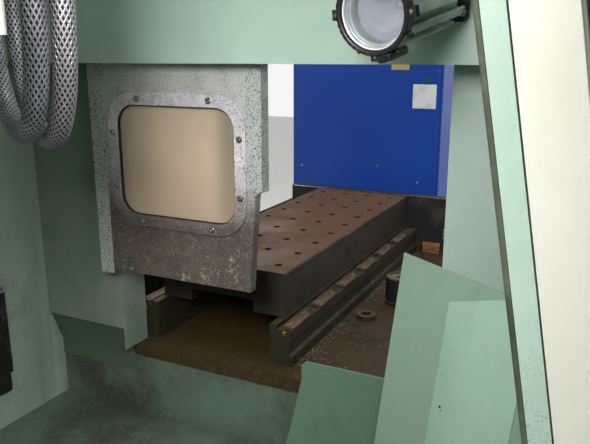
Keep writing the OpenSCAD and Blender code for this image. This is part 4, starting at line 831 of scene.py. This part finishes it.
# The reflector and the bulb are near white and mostly diffuse, metallic only 0.25: a painted reflection
# standing in for the bright polished mirror.
painted_reflection = mottled("reflector_painted_reflection", (250, 248, 255), (226, 222, 234), (30.0, 5.0),
                 (0.4, 0.75), rough=0.2, metal=0.25, polish=(0.14, 0.28))
bowl_r, bowl_low, bowl_deep = 36.4, 82, 88
bowl = [(bowl_r * math.sqrt(k / 14), bowl_low + bowl_deep * k / 14) for k in range(1, 15)]
rim = [(bowl_r, 172), (36.9, 174.6), (38.4, 175), (38.8, 178), (40.2, 178.6), (40.6, 184.5),
       (41.9, 185.2), (41.9, 174.4), (37.5, 174.3), (37.4, 170)]
turned([(0, 81)] + bowl + rim, at_lamp, 96)
piece("lamp_reflector", painted_reflection, "lamp", smooth=25)
turned([(0, 88), (5, 88), (5, 112), (4, 118), (2, 121), (0, 121.5)], at_lamp, 32)
turned([(0, 82), (8, 82), (8, 87), (6, 89), (0, 89)], at_lamp, 32)
piece("lamp_bulb", painted_reflection, "lamp")

clear = finish("clear_pane", rough=0.04)
clear.node_tree.nodes["Principled BSDF"].inputs["Transmission Weight"].default_value = 1.0
clear.node_tree.nodes["Principled BSDF"].inputs["IOR"].default_value = 1.12
into(clear, Base_Color=tint(clear, noise(clear, 8.0), (248, 252, 252), (232, 240, 238)),
     Roughness=steps(clear, noise(clear, 26.0, 5.0), 0.5, 0.8, 0.02, 0.12))
dress(clear, "door_right_pane", "door_left_pane")
turned([(0, 179.4), (39.6, 179.4), (40.2, 180), (40.2, 182), (39.6, 182.6), (0, 182.6)], at_lamp, 96)
piece("lamp_glass", clear, "lamp", ["lamp_lens"])

ring_black = black("ring_black", 0.38, 0.3)
turned([(42, 175), (42, 187.5), (43, 189), (44.5, 190), (47.4, 190), (49, 188), (49, 176), (47.5, 174),
        (43, 174)], at_lamp, 96, ring=True)
for i, side in enumerate(round_about(at_lamp, 12)):
    if i % 3:
        box((46, -1.6, 176), (53, 1.6, 181), 0.8, side)
    else:
        box((45, -4.4, 176), (53.5, 4.4, 186), 2.0, side)
for side in round_about(at_lamp, 36, 5):
    box((44.4, -1.3, 188.6), (47.2, 1.3, 190.8), 0.5, side)
piece("lamp_rim", ring_black, "lamp", ["lamp_ring"])
lever_at = at_lamp @ roll(15)
hoop(9.0, 19, 3.4, [(-1.6, 144), (-0.3, 145.2), (0.2, 150), (0.2, 184), (-0.3, 190.8), (-1.6, 192)],
     lever_at @ Matrix.Translation((52.4, 0, 0)), closed=False)
for z in range(150, 192, 7):
    box((56.4, -8, z - 1.2), (57.4, 8, z + 1.2), 0.4, lever_at)
piece("lamp_lever", ring_black, "lamp")
for side in round_about(at_lamp, 4):
    screw(side @ Vector((50, 0, 186)), side.to_3x3() @ Vector((0, 0, 1)), 2.6)
for side in round_about(at_lamp, 6, 30):
    screw(side @ Vector((30, 0, 24.4)), side.to_3x3() @ Vector((0.25, 0, -1)), 2.4)
piece("lamp_screws", bright, "lamp")

dress(black_lacquer, "lamp_bracket")
pivot_x, pivot_y, pivot_z = lamp_pivot
screws(bolt, (pin_high.x - 6,), (pivot_y - 28, pivot_y + 28), (pivot_z - 28, pivot_z + 28), (-1, 0, 0), 4.0)
for y in (-24, 24):
    turned([(0, 0), (8, 0), (8, 1.4), (5.6, 1.6), (5.6, 5), (4.8, 5.8), (0, 5.8)],
           stand((pivot_x, pivot_y + y, pivot_z), (0, y, 0)), 6)
piece("clevis_bolts", bright)


# The blue cabinet at the station's far end and its door: folded sheet steel
# sprayed royal blue, with a green quarter turn lock, a tan plate, a blank card
# and a few screws.
blue_enamel = enamel("royal_blue_enamel", (8, 66, 164), (5, 44, 122), 0.42, 0.08, dots=0.03)
dress(blue_enamel, "cabinet_body", "cabinet_door")
blue_low, blue_high = corners("cabinet_body")
blue_front = blue_low.x
for proud, y0, y1, short, edge in ((1.4, 12, 20, 20, 0.5), (2.6, 0.5, 3, 1, 0.8)):
    box((blue_front - proud, blue_low.y + y0, blue_low.z + short),
        (blue_front + 0.5, blue_low.y + y1, blue_high.z - short), edge)
piece("cabinet_fold", blue_enamel)
green_lock = mottled("green_lock", (58, 100, 84), (36, 70, 60), (120.0, 4.0), None,
                     (300.0, 3.0), (0.2, 0.0004), rough=0.4)
turned([(0, 0), (9.5, 0), (9.5, 2), (8.5, 3.4), (6, 3.4), (5.6, 2.2), (3, 2.2), (2.6, 3), (0, 3)],
       stand((blue_front, -349, 1374), (-1, 0, 0)), 40)
piece("cabinet_lock", green_lock)
for y, z in ((141, 1038), (-170, 1056), (-325, 1005), (-386, 1405), (160, 1500), (-386, 1740), (160, 1740)):
    screw((blue_front, y, z), (-1, 0, 0), 3.6)
piece("cabinet_screws", bright)
buff = mottled("buff_plate", (206, 176, 124), (176, 146, 98), (30.0, 5.0), None,
               (200.0, 3.0), (0.1, 0.0004), rough=0.55)
box((blue_front - 1.6, -279, 1407), (blue_front + 0.4, -213, 1440), 0.5)
piece("cabinet_plate", buff)
card = mottled("white_card", (228, 230, 232), (196, 196, 196), (20.0, 5.0), (0.45, 0.8),
               (260.0, 2.0), (0.08, 0.0004), rough=0.35)
lid(84, 84, 3, 1.2, stand((blue_front, -337.5, 1316), (-1, 0, 0)), 0.4)
piece("cabinet_card", card)


# A black rubber flap on the rear splash wall beside the column's way cover,
# clamped under a painted strip with bright screws.
box((-60, rear_y - 10, 765), (124, rear_y - 2, 972), 2.0)
box((-60, rear_y - 8, 722), (118, rear_y - 2, 768), 2.0)
piece("rear_flap", rubber)
box((-66, rear_y - 14, 956), (126, rear_y + 0.5, 980), 1.2)
piece("flap_clamp", wall_enamel)
screws(screw, (-45, 15, 75, 112), (rear_y - 14,), (968,), (0, -1, 0), 4.0)
piece("flap_screws", bright)


# The castings: bed, column, saddle and spindle head are grey iron, filled,
# rubbed down and painted grey-green.
dress(enamel("casting_paint", (132, 160, 146), (96, 120, 108), 0.5, 0.4, 0.1, 1.2),
      "bed", "column", "saddle", "head_casting")


# Both front doors and the spindle head's cover: folded sheet steel, sprayed
# with cream white enamel.
cream_enamel = enamel("cream_enamel", (226, 226, 214), (206, 202, 184), 0.36, 0.1, 0.5, 1.2, 0.06)
dress(cream_enamel, "door_right", "door_left", "head_cover")


# Grey sheet steel: cable duct, magazine arm, panel arms, control panel, rear
# cabinet with its door, and the coolant tank.
grey_enamel = enamel("grey_enamel", (178, 180, 176), (140, 142, 138), 0.42, 0.2)
dress(grey_enamel, "cable_duct", "magazine_bracket", "panel_arm", "electrics_cabinet",
      "electrics_door", "panel_housing", "coolant_tank")


# Small black mouldings: the blue cabinet's latch and the feed override knob
# on the control panel.
black_plastic = black("black_plastic", 0.5, 0.2)
dress(black_plastic, "cabinet_latch", "feed_knob")


# Bright steel: way covers and table covers of rolled sheet, and levelling feet,
# spindle, tool holders and magazine disc, turned and ground.
def steel(name, colour, rough, stretch=(1.0, 1.0, 1.0)):
    """Ground or rolled steel with a fine grain and a thin oil film."""
    return mottled(name, colour, dim(colour, 0.6), (6.0, 6.0), (0.3, 0.7), (160.0, 4.0, stretch),
                   (0.12, 0.0005), rough, 1.0, (rough, rough + 0.22))


dress(steel("cover_steel", (176, 178, 180), 0.3, (1.0, 0.05, 1.0)),
      "way_cover_front", "way_cover_middle", "table_covers")
dress(steel("ground_steel", (190, 190, 192), 0.22),
      "leveling_feet", "spindle_housing", "spindle_shaft", "tool_holder", "magazine_disc", "magazine_tools")


# Small plastic pieces: the red stop button and the orange coolant nozzles,
# which are moulded and pushed together from short links.
def moulded(name, colour):
    """Moulded plastic with a fine grain."""
    mat = finish(name, rough=0.35)
    used = times(mat, steps(mat, noise(mat, 40.0, 4.0), 0.4, 0.8), 0.3)
    into(mat, Base_Color=tint(mat, used, colour, dim(colour, 0.5)),
         Normal=relief(mat, noise(mat, 500.0, 2.0), 0.1, 0.0004))
    return mat


dress(moulded("red_plastic", (196, 26, 26)), "stop_button")
dress(moulded("orange_plastic", (226, 120, 30)), "coolant_nozzles")


# The windows of both front doors sit in rubber gaskets, and each leaf has a
# grip sleeve on its handle bar and screws along its edges.
leaf_wide, leaf_y, leaf_high = 524.7, -70.0, 1150.0
window = (open_right + leaf_wide / 2 + 10, leaf_y, 10 + leaf_high * 0.56)
mirrored = Matrix.Translation((2 * middle_x, 0, 0)) @ Matrix.Scale(-1, 4, (1, 0, 0))
for side, turn in (("right", Matrix()), ("left", mirrored)):
    place = turn @ at_front
    body = side + "_door"
    hoop(330, 620, 40, [(-4, 2), (-4, -2.6), (-2, -3.6), (9, -3.6), (12, -2), (12, 0.4), (0, 0.4), (0, 2)],
         place @ Matrix.Translation(window) @ roll(-90, "X"))
    piece(side + "_window_gasket", rubber, body)
    for z in range(424, 724, 20):
        box((open_right + 52.6, leaf_y - 47.4, z), (open_right + 75.4, leaf_y - 34.6, z + 17), 2.4, place)
    piece(side + "_door_grip", rubber, body)
    out = place.to_3x3() @ Vector((0, -1, 0))
    for x in (open_right + 34, open_right + leaf_wide - 24):
        for z in (34, 330, 640, 940, 1136):
            screw(place @ Vector((x, leaf_y, z)), out, 4.0)
    piece(side + "_door_screws", bright, body)


# The control panel: a dark screen behind glass in a bezel with a row of soft
# keys, a field of moulded keys, a yellow collar under the stop button.
face_y, back_y = -845.0, corners("panel_housing")[1].y
screen_at = stand((660, face_y + 3, 1432), (0, -1, 0))
screen = mottled("screen_glass", (20, 26, 30), (42, 50, 54), (9.0, 5.0), (0.45, 0.8),
                 rough=0.12, polish=(0.08, 0.3))
lid(284, 224, 8, 2.2, screen_at @ Matrix.Translation((0, 0, 0.1)), 0.8)
piece("panel_screen", screen, "panel")
hoop(286, 226, 10, [(0.5, 0), (0.5, 4.5), (2, 5.5), (12, 5.5), (13, 4.5), (13, 0)], screen_at)
piece("panel_bezel", black_plastic, "panel")
for x in range(534, 790, 32):
    box((x, face_y - 1.5, 1272), (x + 24, face_y + 3, 1290), 1.4)
for row in range(4):
    for k in range(7):
        if (row, k) not in ((0, 0), (0, 6)):
            x, z = 573 + k * 26, 1082 + row * 31
            box((x, face_y - 2, z), (x + 20, face_y + 2, z + 22), 1.6)
piece("panel_keys", moulded("key_plastic", (206, 204, 194)), "panel")
for x in (573, 729):
    box((x, face_y - 2.4, 1082), (x + 20, face_y + 2, 1104), 1.6)
piece("panel_start_keys", moulded("green_key_plastic", (52, 140, 82)), "panel")
stop_x, knob_x, dial_z = 800, 530, 1140
turned([(24, 0), (24, 2), (25, 2.8), (32, 2.8), (33, 2), (33, 0)],
       stand((stop_x, face_y + 2, dial_z), (0, -1, 0)), 48, ring=True)
piece("stop_collar", moulded("yellow_plastic", (226, 186, 40)), "panel")
turned([(0, -4), (9.9, -4), (9.9, 8), (18.6, 8), (20, 9.6), (20, 11.5), (18.6, 15.5), (14, 18.6),
        (7, 19.8), (0, 20)], stand((stop_x, face_y, dial_z), (0, -1, 0)), 48)
stop_red = moulded("stop_plastic", (200, 24, 24))
piece("stop_head", stop_red, "stop_button", ["stop_button"])
at_knob = stand((knob_x, face_y + 1.7, dial_z), (0, -1, 0))
turned([(0, 0), (17, 0), (17, 2.4), (14.8, 4), (14, 15.5), (12.6, 17.6), (0, 18)], at_knob, 48)
for rib in round_about(at_knob, 18):
    box((13.4, -0.9, 4), (16, 0.9, 15), 0.5, rib)
box((-3, -16.6, 17), (3, 16.6, 21), 1.2, at_knob)
piece("feed_knob_body", black_plastic, "feed_knob", ["feed_knob"])
for y, out in ((face_y, (0, -1, 0)), (back_y, (0, 1, 0))):
    screws(screw, (468, 852), (y,), (1058, 1602), out, 3.2)
piece("panel_screws", bright, "panel")


# The rear cabinet's door: one folded sheet on three hinges, with pressed air
# slots, two round fan grilles, a flush handle and two locks.
# Black boxes in the openings of pressed slots: painted shade, kept here until they become one piece.
slot_shadows = []


def louvres(middle, out, wide, count, pitch=16.0, deep=5.0):
    """Adds a field of pressed air slots: slanted hoods, each with a dark box in its opening kept for later as
    painted shade.
    """
    at = stand(middle, out)
    half = wide / 2
    hood = [(0.3, 0.0), (0.22, 0.5), (-0.2, 1.0), (-0.28, 0.9), (-0.28, 0.0)]
    for k in range(count):
        y = (k - (count - 1) / 2) * pitch
        loft([[at @ Vector((x, y + pitch * up, deep * lift)) for up, lift in hood] for x in (-half, half)])
        slot_shadows.append(((4 - half, y - pitch * 0.46, -0.4), (half - 4, y - pitch * 0.27, 0.5), 0.2, at, 1))


def slot_shadow_piece(name, body):
    """Makes one black piece of all the painted slot shadows kept so far."""
    for slot_shadow in slot_shadows:
        box(*slot_shadow)
    slot_shadows.clear()
    piece(name, black_plastic, body)


skin_y = corners("electrics_door")[1].y - 2.6
rear_x0, rear_x1, rear_z0, rear_z1 = -1300.0, -140.0, 250.0, 2050.0
slot_fields, seat_y = (-1010, -430), 1011.1
box((rear_x0, skin_y - 4, rear_z0), (rear_x1, skin_y, rear_z1), 1.6)
for x in (rear_x0, rear_x1 - 20):
    box((x, seat_y + 0.5, rear_z0), (x + 20, skin_y - 3, rear_z1), 0.8)
for z in (rear_z0, rear_z1 - 20):
    box((rear_x0, seat_y + 0.5, z), (rear_x1, skin_y - 3, z + 20), 0.8)
for x in slot_fields:
    box((x - 20, seat_y + 4, rear_z0 + 60), (x + 20, skin_y - 3, rear_z1 - 60), 1.5)
for z in (rear_z0 + 200, (rear_z0 + rear_z1) / 2 - 45, rear_z1 - 290):
    turned([(0, 30.4), (6.3, 30.4), (6.3, 59.6), (0, 59.6)],
           Matrix.Translation((rear_x0 - 7, seat_y + 0.15, z)), 24)
    box((rear_x0 - 4, seat_y + 1.3, z + 30.4), (rear_x0 + 0.5, seat_y + 18, z + 59.6), 0.5)
piece("rear_door_leaf", grey_enamel, "electrics_door", ["electrics_door"])
for x in slot_fields:
    louvres((x, skin_y, 480), (0, 1, 0), 300, 12, 18.0, 2.4)
    louvres((x, skin_y, 1880), (0, 1, 0), 300, 8, 18.0, 2.4)
piece("rear_door_slots", grey_enamel, "electrics_door")
slot_shadow_piece("rear_door_slot_shadows", "electrics_door")
for x in slot_fields:
    at = stand((x, skin_y, 1560), (0, 1, 0))
    for r in (24, 46, 68, 90):
        turned([(r, 0), (r, 1.8), (r + 1, 2.4), (r + 6, 2.4), (r + 7, 1.8), (r + 7, 0)], at, 48, ring=True)
    for spoke in round_about(at, 8):
        box((8, -2.4, 0), (96, 2.4, 1.6), 0.5, spoke)
box((-196, skin_y, 1010), (-164, skin_y + 1.6, 1200), 0.7)
box((-189, skin_y, 1024), (-171, skin_y + 2.4, 1150), 1.0)
for z in (640, 1660):
    turned([(0, 0), (15, 0), (15, 1.6), (13, 2.4), (0, 2.4)], stand((-180, skin_y, z), (0, 1, 0)), 32)
piece("rear_door_grilles", black_plastic, "electrics_door")


# Feed motors: cast housings in black enamel with cooling fins all round, and
# a terminal box with a screwed cable gland.
def fins(count, pitch, wide, corner, high, at):
    """Adds a row of square cooling fins along the place's own Z."""
    for k in range(count):
        hoop(wide, wide, corner, [(-0.5, 0), (high, 0), (high, 3), (-0.5, 3)],
             at @ Matrix.Translation((0, 0, k * pitch)))


motor_black = black("motor_black", 0.42, 0.25)
fins(9, 18, 140, 20, 5, Matrix.Translation((middle_x, 440, 2306)))
box((middle_x + 70, 412, 2330), (middle_x + 112, 468, 2430), 3)
turned([(0, 0), (9, 0), (11, 3), (11, 18), (0, 18)],
       stand((middle_x + 91, 440, 2330), (0, 0, -1), (1, 0, 0)), 24)
fins(5, 19, 110, 12, 5, stand((middle_x, -772, 450), (0, -1, 0)))
box((middle_x - 28, -860, 505), (middle_x + 28, -790, 540), 3)
piece("feed_motor_fins", motor_black)
fins(6, -16, 80, 10, 4, stand((corners("saddle")[0].x + 14, -189, 648), (-1, 0, 0)))
piece("saddle_motor_fins", motor_black, "saddle")


# The coolant tank's sheet lid, the cast ribs and the terminal box of its pump,
# lifting eyes on the column, and the bolts that hold castings and panels.
tank_x, tank_top = corners("coolant_tank")[0].x, 320.0
lid(330, 430, 12, 3, stand((tank_x + 210, -200, tank_top - 9.5), (0, 0, 1), (0, 1, 0)), 0.8)
piece("tank_lid", grey_enamel)
for k in range(9):
    turned([(54, 0), (59, 0), (59, 3), (54, 3)],
           Matrix.Translation((tank_x + 65, -540, tank_top + 94 + k * 18)), 32, ring=True)
box((tank_x + 118, -566, tank_top + 110), (tank_x + 152, -514, tank_top + 190), 3)
piece("pump_ribs", motor_black)
eye = [(15 + 4 * math.cos(a), 4 * math.sin(a)) for a in [math.radians(45 * k) for k in range(8)]]
for x in (middle_x - 180, middle_x + 180):
    turned(eye, stand((x, 640, 2272), (0, 1, 0)), 32, ring=True)
    turned([(0, 0), (16, 0), (16, 3), (7, 5), (7, 8), (0, 8)], Matrix.Translation((x, 640, 2250)), 24)
bed_bolts = [middle_x + off for off in (-380, -230, 230, 380)]
screws(bolt, bed_bolts, (-760,), (500, 130), (0, -1, 0), 9)
column_bolts = (middle_x - 255, middle_x + 255)
screws(bolt, column_bolts, (330,), (700, 1000, 1300, 1600, 1900, 2160), (0, -1, 0), 7)
screws(screw, (tank_x + 30,), (-640, -160, 540), (tank_top,), (0, 0, 1), 5)
piece("frame_bolts", bright)


# Access plates on the enclosure's outer sides and the base's recessed doors:
# thin sheet on screws, with pressed air slots and a quarter turn lock.
outer_right, outer_left = corners("wall_right")[1].x, corners("wall_left")[0].x
plate_thick = 3
lid(560, 620, 14, plate_thick, stand((outer_left, -250, 1500), (-1, 0, 0)), 0.8)
louvres((outer_left - plate_thick, -250, 1690), (-1, 0, 0), 360, 8)
lid(300, 380, 14, plate_thick, stand((outer_right, 20, 1830), (1, 0, 0)), 0.8)
louvres((outer_right + plate_thick, 20, 1890), (1, 0, 0), 200, 7)
piece("access_plates", mint_enamel)
base_doors, base_front, base_back = (595, 1035), -612, 82
for x in base_doors:
    louvres((x, base_front, 590), (0, -1, 0), 240, 5)
    louvres((x, base_back, 590), (0, 1, 0), 240, 5)
piece("base_slots", sill_enamel)
for x in base_doors:
    turned([(0, 0), (14, 0), (14, 3), (12, 4.5), (0, 4.5)], stand((x + 160, base_front, 420), (0, -1, 0)), 32)
    box((x + 157, base_front - 6.4, 408), (x + 163, base_front - 4, 432), 0.6)
piece("base_locks", black_plastic)
screws(screw, (outer_left - plate_thick,), (-512, 12), (1208, 1500, 1792), (-1, 0, 0), 4.2)
screws(screw, (outer_right + plate_thick,), (-114, 154), (1656, 2004), (1, 0, 0), 4.2)
piece("access_screws", bright)


# Air slots pressed into the blue cabinet's front side and the head's cover of
# sheet steel, and the screws that hold the cover.
for z in (300, 1620):
    louvres((blue_low.x + 190, blue_low.y, z), (0, -1, 0), 240, 10)
piece("cabinet_slots", blue_enamel)
slot_shadow_piece("frame_slot_shadows", "frame")
cover_low, cover_high = corners("head_cover")
louvres((middle_x, cover_low.y, cover_high.z - 120), (0, -1, 0), 420, 8)
piece("cover_slots", cream_enamel, "head")
slot_shadow_piece("cover_slot_shadows", "head")
screws(screw, (cover_low.x + 24, cover_high.x - 24), (cover_low.y,),
       (cover_low.z + 24, (cover_low.z + cover_high.z) / 2, cover_high.z - 24), (0, -1, 0), 4.0)
piece("cover_screws", bright, "head")
